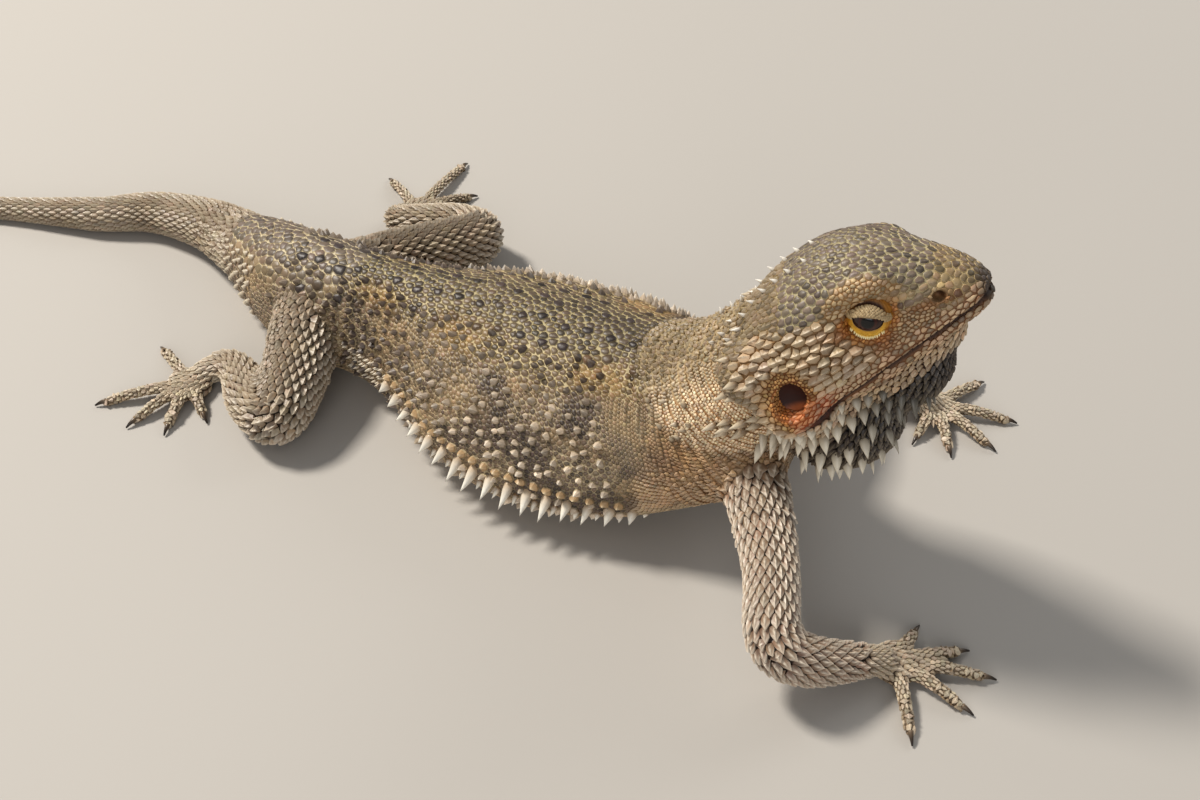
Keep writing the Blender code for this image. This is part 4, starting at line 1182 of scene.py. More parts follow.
# ---------------------------------------------------------------- scales
def outlines(places, normals, ways, size, long):
    """The reach of each scale in each direction of its own plane: as far as its neighbours let it grow."""
    spots = places.tolist()
    tree = balanced(spots)
    near = np.array([[other for _, other, _ in tree.find_n(spot, NEIGHBOURS + 1)][1:] for spot in spots])
    across = np.cross(normals, ways)
    offset = places[near] - places[:, None]
    u = (offset * ways[:, None]).sum(2) / long[:, None]
    v = (offset * across[:, None]).sum(2)
    rise = np.abs((offset * normals[:, None]).sum(2))
    flat = np.hypot(u, v)
    share = size[:, None] / (size[:, None] + size[near])
    facing = (normals[near] * normals[:, None]).sum(2) > 0.1
    border = np.where(facing & (rise < 1.2 * flat + 0.3), share * flat - GROOVE / 2, FAR)
    bearing = np.arctan2(v, u)
    angles = math.tau * np.arange(SCALE_SIDES) / SCALE_SIDES
    toward = np.cos(angles[None, None] - bearing[..., None])
    limit = np.where(toward > 0.15, border[..., None] / np.maximum(toward, 0.15), FAR)
    reach = np.minimum(limit.min(axis=1), 1.05 * size[:, None])
    return np.maximum(reach, 0.12 * size[:, None])


def grown(places, normals, ways, reach, terms, colours, cone):
    """Closed meshes of scales: their points, their colours, and which of them are shaded smooth."""
    size, long, dome, keel, lift, tip = terms.T[..., None]
    angles = math.tau * np.arange(SCALE_SIDES) / SCALE_SIDES
    ahead = np.maximum(np.cos(angles), 0)
    free = (0.5 + 0.5 * np.cos(angles)) ** 2
    sharp = ahead**6
    shoulder = 2 * ahead * np.abs(np.sin(angles))
    ridge = np.abs(np.cos(angles)) ** 8
    run = reach * (1 + tip * (0.2 + sharp - 0.3 * shoulder))
    across = np.cross(normals, ways)
    spike = cone[:, None]
    lean = 0.22 * size * tip + 0.35 * spike
    rings = []
    for share, shift, height in (
        (1.0, 0.0, -0.2 + 0.45 * size * lift * free),
        (0.97, 0.0, size * (0.45 * dome + 0.35 * keel * sharp)),
        (0.88, 0.1, size * (0.85 * dome + keel * (0.05 + 0.6 * ridge)) + 0.25 * spike),
        (0.4, 0.6, size * (0.97 * dome + keel * (0.42 + 0.5 * ridge)) + 0.68 * spike),
    ):
        if share < 1:
            height = height + size * lift * (0.5 + 0.5 * share * np.cos(angles)) ** 1.5
        u = share * run * np.cos(angles) * long + shift * lean
        v = share * run * np.sin(angles)
        ring = places[:, None] + u[..., None] * ways[:, None] + v[..., None] * across[:, None]
        rings.append(ring + np.broadcast_to(height, u.shape)[..., None] * normals[:, None])
    peak = places + (size * (dome + keel + 0.38 * lift) + spike) * normals
    peak += lean * ways
    plate, between, point = colours
    pale = np.clip(2.2 * tip, 0, 1)
    rim, free_tip = (0.95 * free * pale)[..., None], (0.6 * ahead**2 * pale)[..., None]
    crest = np.clip((keel + lift) * 1.5 + 0.9 * spike, 0.1, 0.9)
    back = (crest * np.where(spike > 0, 0.1 + 0.2 * ridge, 0.15 + 0.45 * ridge))[..., None]
    # The base ring takes 0.8 of the colour between: painted shade in the crevice under each scale's edge.
    tints = (
        0.8 * np.repeat(between[:, None], SCALE_SIDES, 1),
        between[:, None] * (1 - rim) + point[:, None] * rim,
        plate[:, None] * (1 - free_tip) + point[:, None] * free_tip,
        plate[:, None] * (1 - back) + point[:, None] * back,
        (plate * (1 - crest) + point * crest)[:, None],
    )
    points = np.concatenate([*rings, peak[:, None]], axis=1)
    return points, np.concatenate(tints, axis=1), (keel + spike / size)[:, 0] < SMOOTH_BELOW


def scale_polygons(sides, rings=4):
    """The polygons of one scale: its base, the bands between its rings and the fan at its peak."""
    polygons = [list(range(sides))[::-1]]
    for ring in range(rings - 1):
        for k in range(sides):
            a, b = ring * sides + k, ring * sides + (k + 1) % sides
            polygons.append([a, b, b + sides, a + sides])
    low = (rings - 1) * sides
    polygons += [[low + k, low + (k + 1) % sides, rings * sides] for k in range(sides)]
    return polygons


def coat_mesh(name, points, tints, polygons, patches, smooth=None):
    """One mesh from many like scales; each scale's patch of the bake map lies round its root's place."""
    number, each = points.shape[:2]
    counts = [len(p) for p in polygons]
    corners = np.concatenate([np.array(p) for p in polygons])
    loops = (corners[None] + each * np.arange(number)[:, None]).ravel()
    starts = np.concatenate([[0], np.cumsum(np.tile(counts, number))[:-1]])
    mesh = bpy.data.meshes.new(name)
    mesh.vertices.add(number * each)
    mesh.vertices.foreach_set("co", (points * MM).ravel().astype(np.float32))
    mesh.loops.add(len(loops))
    mesh.loops.foreach_set("vertex_index", loops.astype(np.int32))
    mesh.polygons.add(len(starts))
    mesh.polygons.foreach_set("loop_start", starts.astype(np.int32))
    mesh.update(calc_edges=True)
    mesh.shade_smooth()
    if smooth is not None:
        mesh.polygons.foreach_set("use_smooth", np.repeat(smooth, len(polygons)))
    paint(mesh, tints.reshape(-1, 3))
    bake = mesh.uv_layers.new(name="OFBake")
    bake.data.foreach_set("uv", patches.reshape(-1, 2)[loops].ravel().astype(np.float32))
    return mesh


def paint(mesh, tints):
    """Gives the mesh a colour at each point, which its material reads."""
    layer = mesh.color_attributes.new("Tint", "FLOAT_COLOR", "POINT")
    values = np.ones((len(mesh.vertices), 4), np.float32)
    values[:, :3] = np.clip(tints, 0, 1)
    layer.data.foreach_set("color", values.ravel())


def bake_places(names, along, points):
    """An unwrap of the skin: strips side by side, one for each mass, across it round and up it along."""
    paths = tubes()
    spots = np.zeros((len(points), 2))
    present = sorted(set(names))
    for k, name in enumerate(present):
        here = names == name
        if name in paths:
            path = paths[name]
            place = np.rint(along[here] * (len(path) - 1)).astype(int)
            off = points[here] - path[place, :3]
            ahead = unit(np.gradient(path[:, :3], axis=0))[place]
            length = along[here]
        else:
            off = points[here] - points[here].mean(axis=0)
            onward = head_way(1, 0, 0) if name in ("skull", "beard") else (1.0, 0.0, 0.0)
            ahead = np.tile(onward, (len(off), 1))
            length = (off * ahead).sum(1)
            length = (length - length.min()) / max(float(np.ptp(length)), 1e-6)
        across, upward = level_frame(ahead)
        turn = np.arctan2((off * across).sum(1), -(off * upward).sum(1)) / math.tau + 0.5
        spots[here, 0] = (k + 0.03 + 0.94 * turn) / len(present)
        spots[here, 1] = 0.02 + 0.96 * length
    return spots


# ---------------------------------------------------------------- spines
def patches(middles, flat):
    """Each piece's patch of the bake map: its own flat outline, small, round its root's place."""
    flat *= PATCH / 2 / np.abs(flat).max(axis=(1, 2), keepdims=True)
    return middles[:, None] + flat


class Spines:
    """Curved spines joined into one mesh."""

    def __init__(self):
        self.points, self.tints = [], []

    def add(self, root, ahead, bend, length, radius, tones, profile=CONE, flat=1.0):
        """One spine from below the root, bending over towards the bend by its tip."""
        low, high = tones
        ahead = unit(np.asarray(ahead, float))
        bend = np.asarray(bend, float)
        across = unit(np.cross(ahead, bend))
        angles = math.tau * np.arange(SPINE_SIDES) / SPINE_SIDES
        rings = []
        shares = np.linspace(-SPINE_SUNK, 1.0, len(profile) + 1)
        for share, width in zip(shares[:-1], profile):
            middle = root + length * (ahead * share + bend * max(share, 0) ** 2)
            out = np.cross(across, unit(ahead + 2 * bend * max(share, 0)))
            ring = np.cos(angles)[:, None] * across + flat * np.sin(angles)[:, None] * out
            rings.append(middle + radius * width * ring)
        rings.append((root + length * (ahead + bend))[None])
        self.points.append(np.concatenate(rings))
        blend = np.clip(1.6 * shares, 0, 1)[:, None] ** 0.7
        tints = tone(low) * (1 - blend) + tone(high) * blend
        self.tints.append(np.concatenate([np.repeat(tints[:-1], SPINE_SIDES, 0), tints[-1:]]))
        self.rings = len(profile)

    def mesh(self, name, skin_place):
        """All the spines as one mesh, each with its patch of the bake map."""
        points, tints = np.array(self.points), np.array(self.tints)
        points[..., 2] = np.maximum(points[..., 2], FLOOR_CLEAR)
        roots = points[:, :SPINE_SIDES].mean(axis=1)
        flat = (points - roots[:, None])[..., :2]
        polygons = scale_polygons(SPINE_SIDES, self.rings)
        return coat_mesh(name, points, tints, polygons, patches(skin_place(roots), flat))


def outer_surface(tree, start, ahead, reach):
    """The outermost point of the skin along a ray and the normal there, or an empty list where it misses."""
    start, ahead = Vector(start), Vector(ahead).normalized()
    hit, normal, _, _ = tree.ray_cast(start + reach * ahead, -ahead, reach)
    return [] if hit is None else [(np.array(hit), np.array(normal))]


def fringe_spines(spines, tree, rng):
    """The pale fringe between flank and belly: a row of thick cones, and small ones round and behind it."""
    for side in (-1, 1):
        for k in range(FRINGE_SPINES):
            share = k / (FRINGE_SPINES - 1)
            x = FRINGE_FROM + (FRINGE_TO - FRINGE_FROM) * share
            length = FRINGE_SHORTEST + (FRINGE_LENGTH - FRINGE_SHORTEST) * math.sin(math.pi * share**1.3)
            way = np.array((0.2 - 0.75 * (1 - share) ** 2, 0.85 * side, -0.5))
            for level, size, shift, lift, tones in FRINGE_ROWS:
                for root, _ in outer_surface(tree, (x + shift, 0.0, level), (0.0, side, 0.0), 80.0):
                    ahead = unit(way + rng.normal(0, 0.07, 3)) + (0.0, 0.0, lift)
                    reach = length * size * rng.uniform(0.88, 1.1)
                    radius = FRINGE_RADIUS * (0.35 + 0.65 * size) * rng.uniform(0.92, 1.1)
                    spines.add(root, ahead, (-0.12, 0.0, -0.12), reach, radius, tones)
        for k, level in itertools.product(range(REAR_SPINES), REAR_LEVELS):
            x = FRINGE_FROM - 1.0 - 1.25 * k
            start = (x + rng.uniform(-0.5, 0.5), 0.0, level + rng.uniform(-0.6, 0.6))
            for root, normal in outer_surface(tree, start, (0.0, side, 0.0), 60.0):
                ahead = normal + (-0.5, 0.0, -0.15)
                spines.add(root, ahead, (-0.1, 0.0, 0.0), rng.uniform(1.3, 2.2), 0.55, REAR_TONES)


def tail_cones(spines, tree, rng):
    """Rows of pale cones along both sides of the tail's root, smaller towards the tip."""
    path = tubes()["tail"]
    lengths = path_lengths(path)
    for k in range(TAIL_CONES):
        here = TAIL_CONES_FROM + TAIL_CONE_STEP * k
        shrink = 1.0 - 0.6 * k / TAIL_CONES
        middle = row_at(path, lengths, here)[:3]
        ahead = unit(row_at(path, lengths, max(here, 0) + 2.0)[:3] - middle)
        middle += min(here, 0.0) * ahead
        across, _ = level_frame(ahead)
        for side, degrees in itertools.product((-1, 1), TAIL_CONE_ROWS):
            angle = math.radians(degrees + 10.0 * (k % 2) + rng.normal(0, 2.0))
            way = side * math.cos(angle) * across + math.sin(angle) * np.array((0.0, 0.0, 1.0))
            for root, normal in outer_surface(tree, middle, way, 25.0):
                reach = shrink * rng.uniform(1.9, 2.6)
                spines.add(root, normal + 0.9 * ahead, -0.1 * normal, reach, 1.15 * shrink, TAIL_TONES)


def head_point(tree, x, degrees, side, reach=80.0):
    """The outermost point of the skin in a direction square to the head's length."""
    angle = math.radians(degrees)
    start = head_spot(x, 0.0, -11.0 if degrees < 0 else -3.0)
    return outer_surface(tree, start, head_way(0.0, side * math.cos(angle), math.sin(angle)), reach)


def beard_lances(spines, tree, rng):
    """The beard: rows of flat pale lances that point down, thinner to the front and darker there as painted
    shade.
    """
    for side, (degrees, first, last, number, length, radius) in itertools.product((-1, 1), BEARD_ROWS):
        for k in range(number):
            x = first + (last - first) * k / (number - 1) + rng.uniform(-0.5, 0.5)
            for root, normal in head_point(tree, x, -degrees + rng.normal(0, 1.5), side, BEARD_REACH):
                back = 0.15 + 0.5 * float(ramp(x, 2.0, -16.0))
                ahead = 0.35 * normal + head_way(-back, 0.42 * side, -0.75) + rng.normal(0, 0.07, 3)
                # Towards the chin the lances are darkened: painted shade.
                pale = 1.0 - 0.65 * float(ramp(x, 10.0, 26.0))
                tones = np.array(BEARD_LOW) * pale, np.array(BEARD_HIGH) * (0.3 + 0.7 * pale)
                reach = length * (1.05 - 0.25 * k / number) * rng.uniform(0.88, 1.1)
                slim = radius * (0.6 + 0.4 * pale)
                spines.add(root, ahead, -0.14 * normal, reach, slim, tones, LANCE, 0.5)


def temple_lances(spines, tree, rng):
    """Spines behind the temple and over the ear, at the jaw's corner, and over the nape and shoulders."""
    for side in (-1, 1):
        for x, degrees, length, radius in (*TEMPLE_SPINES, *JAW_SPINES):
            for root, normal in head_point(tree, x, degrees, side, BEARD_REACH):
                ahead = 0.55 * normal + head_way(-1.0, 0.0, -0.12) + rng.normal(0, 0.06, 3)
                reach = length * rng.uniform(0.92, 1.08)
                spines.add(root, ahead, head_way(-0.2, 0, 0), reach, radius, TEMPLE_TONES)
        for x, degrees, length in NAPE_SPINES:
            for root, normal in head_point(tree, x, degrees, side):
                ahead = normal + head_way(-0.25, 0.0, 0.0) + rng.normal(0, 0.12, 3)
                spines.add(root, ahead, head_way(-0.15, 0, 0), length, 0.6, NAPE_TONES)
        for _ in range(SHOULDER_SPINES):
            x, across = rng.uniform(56.0, 80.0), rng.uniform(0.35, 0.8)
            middle, half, _, _, level = (float(v) for v in sections_at(x))
            way = unit(np.array((0.0, side * across * half, 20.0)))
            for root, normal in outer_surface(tree, (x, middle, level), way, 60.0):
                ahead = normal + (-0.7, 0.0, 0.0)
                spines.add(root, ahead, (-0.1, 0.0, 0.0), rng.uniform(1.5, 2.4), 0.8, SHOULDER_TONES)


# ---------------------------------------------------------------- eyes
def eye_frame(side):
    """Axes of the eye in the part's frame: forward along the slit, outward, and up; and its middle."""
    frame = head_matrix()
    middle = frame @ Vector((EYE_MIDDLE[0], side * EYE_MIDDLE[1], EYE_MIDDLE[2]))
    slant = math.radians(EYE_SLANT)
    fore = frame.to_3x3() @ Vector((math.cos(slant), -0.1 * side, -math.sin(slant)))
    fore.normalize()
    out = frame.to_3x3() @ Vector((0.1, side, 0.08))
    out = (out - out.dot(fore) * fore).normalized()
    upward = out.cross(fore) * (-side)
    return np.array(fore), np.array(out), np.array(upward), np.array(middle)


def eye_point(side, bearing, height, radius):
    """A place round the eye, from its bearing, its height in degrees and its distance from the middle."""
    fore, out, upward, middle = eye_frame(side)
    bearing, height = np.radians(bearing), np.radians(height)
    level = np.cos(bearing)[..., None] * out + np.sin(bearing)[..., None] * fore
    flat = np.cos(height)[..., None] * level
    return middle + np.asarray(radius)[..., None] * (flat + np.sin(height)[..., None] * upward)


def slit(bearing):
    """How open the lids are at each bearing, from 0 to 1."""
    return np.sqrt(np.clip(1 - (bearing / SLIT_HALF) ** 2, 0, 1))


def lid_points(side, upper, bearing, share):
    """Places on a lid, from its rolled margin over the eye until it is under the skin round the socket."""
    margin = SLIT_LEVEL + (UPPER_OPEN if upper else -LOWER_OPEN) * slit(bearing)
    arch = share ** (1 + (1.3 if upper else 0.5) * (bearing / 60.0) ** 2)
    height = margin + ((82.0 if upper else -82.0) - margin) * arch
    radius = EYE_RADIUS + np.interp(share, *zip(*(UPPER_LID if upper else LOWER_LID)))
    wrinkle = 0.05 * np.sin(bearing / 2.1 + 9 * share) * ramp(share, 0.05, 0.2)
    return eye_point(side, bearing, height, radius + wrinkle)


def tones_at(values, table):
    """Colours between the rows of a table of tones."""
    marks = [mark for mark, _ in table]
    parts = [[tone(colour)[k] for _, colour in table] for k in range(3)]
    return np.stack([np.interp(values, marks, part) for part in parts], -1)


def lid(name, side, upper):
    """One lid, with its folds and its colours."""
    across, outward = np.linspace(-88.0, 88.0, 72), np.linspace(0.0, 1.0, 26) ** 1.3
    bearing, share = np.meshgrid(across, outward, indexing="ij")
    points = lid_points(side, upper, bearing, share)
    tints = tones_at(share, UPPER_TONES if upper else LOWER_TONES)
    tints *= (0.8 + 0.4 * noise(points.reshape(-1, 3), 0.7, 3)).reshape(share.shape)[..., None]
    corner = 0.8 * ramp(np.abs(bearing), 38.0, 60.0)[..., None]
    tints = tints * (1 - corner) + corner * tone(LID_CORNER)
    # Painted shade along the slit, towards the corners.
    slit_shade = (hump(share, 0.0, 0.03) * ramp(np.abs(bearing), 20, 44))[..., None]
    tints = tints * (1 - slit_shade) + slit_shade * tone(SLIT_SHADE)
    return grid_mesh(name, points, tints)


def plain_mesh(name, points, polygons, tints):
    """A smooth mesh with a colour at each point."""
    mesh = bpy.data.meshes.new(name)
    mesh.from_pydata((points.reshape(-1, 3) * MM).tolist(), [], polygons.tolist())
    mesh.shade_smooth()
    paint(mesh, tints.reshape(-1, 3))
    return mesh


def grid_mesh(name, points, tints):
    """A mesh over a grid of points."""
    rows, columns = points.shape[:2]
    number = np.arange(rows * columns).reshape(rows, columns)
    quads = np.stack([number[:-1, :-1], number[1:, :-1], number[1:, 1:], number[:-1, 1:]], -1)
    return plain_mesh(name, points, quads.reshape(-1, 4), tints)


def lid_scales(spines, side, rng):
    """Small scales over the upper lid, and the comb of pale ones along the lower lid."""
    _, _, upward, middle = eye_frame(side)
    for row in range(LID_ROWS):
        share = 0.1 + 0.36 * row / (LID_ROWS - 1)
        for bearing in np.arange(-60.0, 61.0, LID_STEP) + 0.5 * LID_STEP * (row % 2):
            root = lid_points(side, True, bearing + rng.normal(0, 0.8), share)
            tones = tone_range(*LID_TONES, rng.uniform(0.4, 1.1))
            spines.add(root, unit(root - middle), -0.1 * upward, 0.22, 0.38, tones, DOME)
    for bearing in np.linspace(-COMB_HALF, COMB_HALF, COMB_SCALES):
        root = lid_points(side, False, bearing, COMB_SHARE + 0.1 * (bearing / COMB_HALF) ** 2)
        ahead = unit(root - middle) * 0.6 - upward * 0.8
        spines.add(root, ahead, -0.15 * upward, 0.8, 0.3, COMB_TONES)


def tone_range(low, high, share):
    """The two colours, with this share of their distance from the middle between them."""
    low, high = np.array(low, float), np.array(high, float)
    middle = 0.5 * (low + high)
    return middle + share * (low - middle), middle + share * (high - middle)


def painted_mesh(bm, name, tints):
    """The bmesh as a smooth mesh with a colour at each point."""
    mesh = finished(bm, name)
    mesh.shade_smooth()
    paint(mesh, np.array(tints))
    return mesh


def eyeball(side):
    """The eye: a black pupil with a thin ring, a dark iris and a slight bulge of the cornea."""
    _, out, _, middle = eye_frame(side)
    bm = bmesh.new()
    bmesh.ops.create_uvsphere(bm, u_segments=64, v_segments=48, radius=1.0)
    bm.faces.sort(key=lambda face: face.calc_center_median().dot(FACE_ORDER))
    turn = Vector(out.tolist()).to_track_quat("Z", "Y").to_matrix()
    tints = []
    for vert in bm.verts:
        angle = math.degrees(math.acos(max(-1.0, min(1.0, vert.co.z))))
        radius = EYE_RADIUS - 0.03 + 0.12 * float(ramp(angle, 36.0, 12.0))
        tints.append(tones_at(angle, IRIS))
        vert.co = (turn @ vert.co) * radius * MM
        vert.co += Vector(middle.tolist()) * MM
    return painted_mesh(bm, "eye", tints)


def drum(side):
    """The eardrum: a sunken membrane, in painted shadow of the ear's rim above and orange below."""
    frame = np.array(ear_frame(side, EAR_FLOOR + 0.35))
    turn = np.linspace(0, math.tau, 33)
    ring = np.linspace(0.0, 1.0, 9)
    a = EAR_RADII[0] * ring[None] * np.cos(turn)[:, None]
    b = EAR_RADII[1] * ring[None] * np.sin(turn)[:, None]
    bowl = 0.9 * ring**2 + 0 * turn[:, None]
    points = np.stack([a, b, bowl], axis=-1) @ frame[:3, :3].T + frame[:3, 3]
    height = head_place(points.reshape(-1, 3))[:, 2] - EAR_MIDDLE[2]
    low = ramp(height.reshape(a.shape), -1.4, -3.4)[..., None]
    # Painted shadow of the rim above, the drum's own orange below.
    return grid_mesh("eardrum", points, tone(DRUM_SHADOW) * (1 - low) + tone(DRUM_ORANGE) * low)


def claws_of(foot):
    """The five claws of a foot, curved, dark, paler at the root."""
    bm = bmesh.new()
    tints = []
    for tip in FEET[foot][2]:
        path = blended(claw_rows(foot, tip), 3).tolist()
        ahead = (Vector(path[-1][:3]) - Vector(path[0][:3])).normalized()
        add_rings(bm, [ring_round(row, ahead, CLAW_SIDES, CLAW_NARROWNESS) for row in path])
        for k in range(len(path)):
            pale = (1 - k / (len(path) - 1)) ** 2
            tints += [tone(CLAW_PALE) * pale + tone(CLAW_DARK) * (1 - pale)] * CLAW_SIDES
    for vert in bm.verts:
        vert.co = vert.co * MM
    return painted_mesh(bm, f"claws_{foot}", tints)


def claw_rows(foot, tip):
    """A claw's middle line and radii: out of the digit's tip, curving down to the floor."""
    x, y = FEET[foot][0]
    ahead = (Vector((*tip, 0.0)) - Vector((x, y, 0.0))).normalized()
    start = Vector((*tip, DIGIT_TIP_RADIUS + 0.1)) + ahead * 0.7
    rows = []
    for t in np.linspace(0.0, 1.0, CLAW_RINGS).tolist():
        middle = start + ahead * (CLAW_LENGTH * t)
        middle.z -= 1.05 * t * t
        rows.append((*middle, CLAW_RADIUS * (1.0 - 0.72 * t)))
    return rows


def add_horn_and_eyes(skin, names, along, rng):
    """Spines, lids, eyes, eardrums and claws, each its own piece."""
    tree = skin.tree()
    points = balanced(skin.points.tolist())

    def skin_place(roots):
        nearest = np.array([points.find(root)[1] for root in roots.tolist()])
        return bake_places(names[nearest], along[nearest], roots)

    horn = finish("Horn", 0.38, 900.0, 0.00006)
    soft = finish("Lid", 0.45, 3000.0, 0.00005)
    groups = {
        "fringe": fringe_spines,
        "beard_lances": beard_lances,
        "temple_lances": temple_lances,
        "tail_cones": tail_cones,
    }
    for name, grow in groups.items():
        spines = Spines()
        grow(spines, tree, rng)
        placed(name, spines.mesh(name, skin_place), horn)
    wet = finish("Eye", 0.15, 1200.0, 0.00001, coat=0.2)
    claw = finish("Claw", 0.3, 1500.0, 0.00005)
    membrane = finish("Drum", 0.4, 1500.0, 0.00005)
    for side, side_name in ((-1, "right"), (1, "left")):
        placed(f"eyeball_{side_name}", eyeball(side), wet, (f"eye_{side_name}",))
        placed(f"drum_{side_name}", drum(side), membrane, (f"eardrum_{side_name}",))
        for name, upper in (("lid_upper", True), ("lid_lower", False)):
            placed(f"{name}_{side_name}", lid(name, side, upper), soft)
        comb = Spines()
        lid_scales(comb, side, rng)
        placed(f"lid_scales_{side_name}", comb.mesh("lid_scales", skin_place), horn)
    for foot, (_, _, tips) in FEET.items():
        replaced = [f"claw_{foot}_{digit}" for digit in range(1, len(tips) + 1)]
        placed(f"claws_{foot}", claws_of(foot), claw, replaced)


# The pieces of the coat, and the masses of the body that each one covers.
PIECES = {
    "scales_head": ("skull", "beard"),
    "scales_neck": ("neck",),
    "scales_trunk": ("trunk",),
    "scales_tail": ("tail",),
    "scales_foreleg_right": ("foreleg_right", "hand_right"),
    "scales_foreleg_left": ("foreleg_left", "hand_left"),
    "scales_hindleg_right": ("hindleg_right", "foot_right"),
    "scales_hindleg_left": ("hindleg_left", "foot_left"),
}


def grow_coat(skin, names, along, values, rng):
    """Every scale of the body, in a few pieces."""
    roots = Roots(skin, values_with_frame(skin, names, along, values))
    field_roots(roots, names, rng)
    places, triangles, size, terms, order = roots.thinned()
    normals, ways = unit(terms[:, NORMAL]), terms[:, WAY]
    ways = unit(ways - (ways * normals).sum(1)[:, None] * normals)
    reach = outlines(places, normals, ways, size, terms[:, 1])
    steep = 1 + 0.35 * ramp(places[:, 1], 10.0, 20.0) * ramp(places[:, 0], 10.0, 40.0)
    cone = np.where(order == STUDS, rng.uniform(*STUD_HEIGHTS, len(size)) * size * steep, 0.0)
    cone += np.where(order == DOMES, DOME_HEIGHT * size, 0.0)
    tints = scale_tints(places, terms, order, rng)
    shape = np.column_stack([size, terms[:, 1:6]])
    free = clear_of_openings(places)
    corner = skin.triangles[triangles][:, 0]
    polygons = scale_polygons(SCALE_SIDES)
    each = sum(len(p) - 2 for p in polygons)
    made = {}
    for piece, masses in PIECES.items():
        mine = free & np.any([np.char.startswith(names[corner], mass) for mass in masses], axis=0)
        for name, here in parts_of(piece, mine, places, each):
            at, across = places[here], np.cross(normals[here], ways[here])
            colours = [tint[here] for tint in tints]
            laid = (at, normals[here], ways[here], reach[here], shape[here], colours, cone[here])
            points, shades, smooth = grown(*laid)
            points[..., 2] = np.maximum(points[..., 2], FLOOR_CLEAR)
            off = points - at[:, None]
            flat = np.stack([(off * way[:, None]).sum(2) for way in (ways[here], across)], axis=2)
            middles = bake_places(names[corner[here]], along[corner[here]], at)
            made[name] = coat_mesh(name, points, shades, polygons, patches(middles, flat), smooth)
    return made


def scale_tints(places, terms, order, rng):
    """Colours of each scale's plate, edge and tip, with the chance differences between neighbours."""
    plate, between, point = (terms[:, part].copy() for part in (PLATE, BETWEEN, TIP))
    number = len(order)
    plate *= np.exp(rng.normal(0.0, 0.16, (number, 1)))
    pointed = np.clip(2 * terms[:, 5:6], 0, 1)
    plate *= np.where(rng.random((number, 1)) < DARK_CHANCE, 0.58 + 0.28 * pointed, 1.0)
    plate *= np.exp(rng.normal(0.0, 0.025, (number, 3)))
    studs, domes = order == STUDS, order == DOMES
    x, y, z = places[studs].T
    low = ramp(z, 43.0, 35.0) + 0.7 * ramp(y, 14.0, 22.0)
    front = (ramp(x, -25.0, 22.0) * np.minimum(low, 1.0))[:, None]
    hip = ramp(x, -38.0, -58.0)[:, None]
    dark, dark_tip, light, light_tip, hip_tone = (tone(colour) for colour in STUD_TONES)
    base = hip * hip_tone + (1 - hip) * dark
    base = (1 - front) * base + front * light
    plate[studs] = 0.15 * plate[studs] + 0.85 * base * np.exp(rng.normal(0.0, 0.28, (studs.sum(), 1)))
    # The tip of the dark studs: partly their own pale tip, partly a painted highlight.
    point[studs] = 0.2 * point[studs] + 0.8 * ((1 - front) * dark_tip + front * light_tip)
    plate[domes], point[domes] = tone(DOME_TONES[0]), tone(DOME_TONES[1])
    return plate, between, point


def parts_of(piece, mine, places, each):
    """The piece's scales in groups small enough for one mesh: by side on the trunk, then along X."""
    groups = {piece: mine}
    if piece == "scales_trunk":
        groups = {f"{piece}_left": mine & (places[:, 1] >= 0), f"{piece}_right": mine & (places[:, 1] < 0)}
    for name, group in groups.items():
        found = np.flatnonzero(group)
        found = found[np.argsort(places[found, 0], kind="stable")]
        parts = math.ceil(len(found) * each / MOST_FACES)
        for k, part in enumerate(np.array_split(found, parts), 1):
            yield (name if parts == 1 else f"{name}_{k}"), part


def values_with_frame(skin, names, along, values):
    """The values at each point, with the normal and the lie of the coat there."""
    ways = lie_of_coat(skin.points, names, along, head_place(skin.points))
    ways = unit(ways - (ways * skin.normals).sum(1)[:, None] * skin.normals)
    ways = unit(skin.smoothed(ways, 6))
    return np.column_stack([values, skin.smoothed(skin.normals, 2), ways])


def clear_of_openings(places):
    """Whether each place lies outside the eye sockets, ears, nostrils and mouth line."""
    local = head_place(places)
    free = np.ones(len(places), bool)
    for side in (-1, 1):
        off = local - np.array(EYE_MIDDLE) * (1, side, 1)
        free &= np.linalg.norm(off, axis=1) > LID_RADIUS - 0.1
        ear, ring = ear_local(places, side)
        free &= (ring > 0.95) | (np.abs(ear[:, 2]) > 9)
        free &= nostril_share(local, side, NOSTRIL_OPENING) > 1.75
    above = local[:, 2] - mouth_height(local[:, 0])
    free &= (np.abs(above) > CREASE) | (local[:, 0] < 7.0)
    return free


# ---------------------------------------------------------------- materials
def new_node(nodes, kind, **numbers):
    """A new shader node with these numbers on its own sockets."""
    node = nodes.new(f"ShaderNode{kind}")
    for name, number in numbers.items():
        node.inputs[name.replace("_", " ")].default_value = number
    return node


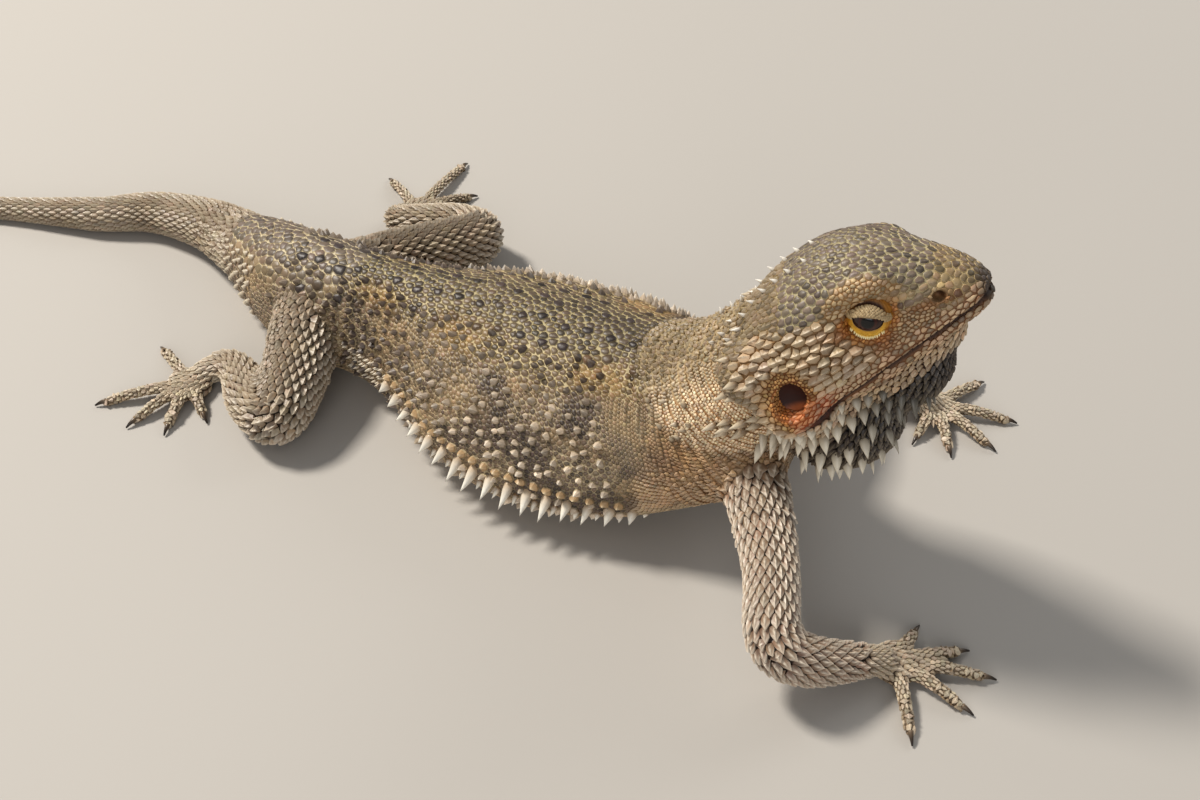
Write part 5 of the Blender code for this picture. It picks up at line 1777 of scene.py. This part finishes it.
def finish(name, roughness, grain, depth, coat=0.0):
    """A material whose colour is the mesh's own tint, slightly mottled, over a fine grain."""
    made = bpy.data.materials.new(name)
    made.use_nodes = True
    nodes, link = made.node_tree.nodes, made.node_tree.links.new
    shader = nodes["Principled BSDF"]
    shader.inputs["Roughness"].default_value = roughness
    shader.inputs["Coat Weight"].default_value = coat
    shader.inputs["Coat Roughness"].default_value = 0.08
    tint = new_node(nodes, "VertexColor")
    tint.layer_name = "Tint"
    where = new_node(nodes, "TexCoord")
    mottle = new_node(nodes, "TexNoise", Scale=grain * 0.5, Detail=3.0)
    level = new_node(nodes, "MapRange", To_Min=0.82, To_Max=1.18)
    shaded = new_node(nodes, "Mix")
    shaded.data_type = "RGBA"
    shaded.blend_type = "MULTIPLY"
    shaded.inputs["Factor"].default_value = 1.0
    fine = new_node(nodes, "TexNoise", Scale=grain, Detail=4.0)
    bump = new_node(nodes, "Bump", Strength=0.5, Distance=depth)
    link(where.outputs["Object"], mottle.inputs["Vector"])
    link(mottle.outputs["Fac"], level.inputs["Value"])
    link(tint.outputs["Color"], shaded.inputs["A"])
    link(level.outputs["Result"], shaded.inputs["B"])
    link(shaded.outputs["Result"], shader.inputs["Base Color"])
    link(where.outputs["Object"], fine.inputs["Vector"])
    link(fine.outputs["Fac"], bump.inputs["Height"])
    link(bump.outputs["Normal"], shader.inputs["Normal"])
    return made


def placed(name, mesh, material, replaced=()):
    """The mesh as a piece of the model, in place of the CAD nodes that it replaces."""
    obj = add_object(name, mesh)
    mesh.materials.append(material)
    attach(obj, "root")
    if replaced:
        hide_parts(*replaced)


# ---------------------------------------------------------------- camera, light and floor
def aimed(obj, place, target, roll=0.0):
    """Turns the object's -Z to the target, with its picture rolled by this angle."""
    ahead = (Vector(target) - Vector(place)).normalized()
    right, upward = sideways(ahead)
    side = math.cos(roll) * right + math.sin(roll) * upward
    upward = math.cos(roll) * upward - math.sin(roll) * right
    obj.matrix_world = Matrix.Translation(place) @ Matrix((side, upward, -ahead)).transposed().to_4x4()


def add_camera():
    """The camera at the photograph's viewing angle."""
    data = bpy.data.cameras.new("Camera")
    data.lens, data.sensor_width = CAMERA_LENS, 36.0
    data.clip_start, data.clip_end = 0.01, 20.0
    camera = add_object("Camera", data)
    aimed(camera, CAMERA_PLACE, CAMERA_TARGET, CAMERA_ROLL)
    bpy.context.scene.camera = camera


def add_light(name, place, size, power, colour):
    """A square soft light aimed at the model."""
    data = bpy.data.lights.new(name, "AREA")
    data.size, data.energy, data.color = size, power, colour
    aimed(add_object(name, data), place, (0.0, 0.0, 0.0))


def add_studio():
    """Plain soft studio light and a pale floor."""
    bpy.context.scene.view_settings.view_transform = "Standard"
    bpy.context.scene.view_settings.look = "Medium High Contrast"
    world = bpy.data.worlds.new("Studio")
    bpy.context.scene.world = world
    world.use_nodes = True
    background = world.node_tree.nodes["Background"]
    background.inputs["Color"].default_value = (*SKY, 1.0)
    background.inputs["Strength"].default_value = SKY_STRENGTH
    for light in LIGHTS:
        add_light(*light)
    bm = bmesh.new()
    bmesh.ops.create_grid(bm, x_segments=8, y_segments=8, size=3.0)
    floor = add_object("Floor", finished(bm, "Floor"))
    surface = bpy.data.materials.new("Floor")
    surface.use_nodes = True
    shader = surface.node_tree.nodes["Principled BSDF"]
    shader.inputs["Base Color"].default_value = (*FLOOR_COLOUR, 1.0)
    shader.inputs["Roughness"].default_value = 0.8
    floor.data.materials.append(surface)


# ---------------------------------------------------------------- everything together
TAIL_NODES = ("tail_root", "tail_front", "tail_middle", "tail_tip")
FLESH_NODES = ("head", "lower_jaw", "beard", "neck", "trunk", *TAIL_NODES)
SIDED_NODES = ("upper_arm", "forearm", "hand", "thigh", "shank", "foot")


def main():
    """Clears the scene, loads the frame, dresses it and hides the CAD nodes that the pieces replace."""
    for obj in list(bpy.data.objects):
        bpy.data.objects.remove(obj)
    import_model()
    rng = np.random.default_rng(SEED)
    add_camera()
    add_studio()
    skin, names, along = shaped_skin()
    values = painted(skin, names, along, kind_of(skin, names, along))
    coat = grow_coat(skin, names, along, values, rng)
    scales = finish("Scales", 0.44, 1500.0, 0.0001)
    hide = finish("Skin", 0.65, 1800.0, 0.0001)
    # The skin is painted at 0.8 of the colour between the scales: painted shade in the grooves between them.
    mesh = plain_mesh("skin", skin.points, skin.triangles, 0.8 * values[:, BETWEEN])
    sided = [f"{node}_{side}" for node in SIDED_NODES for side in ("left", "right")]
    placed("skin", mesh, hide, (*FLESH_NODES, *sided))
    for name, piece in coat.items():
        placed(name, piece, scales)
    add_horn_and_eyes(skin, names, along, rng)


main()
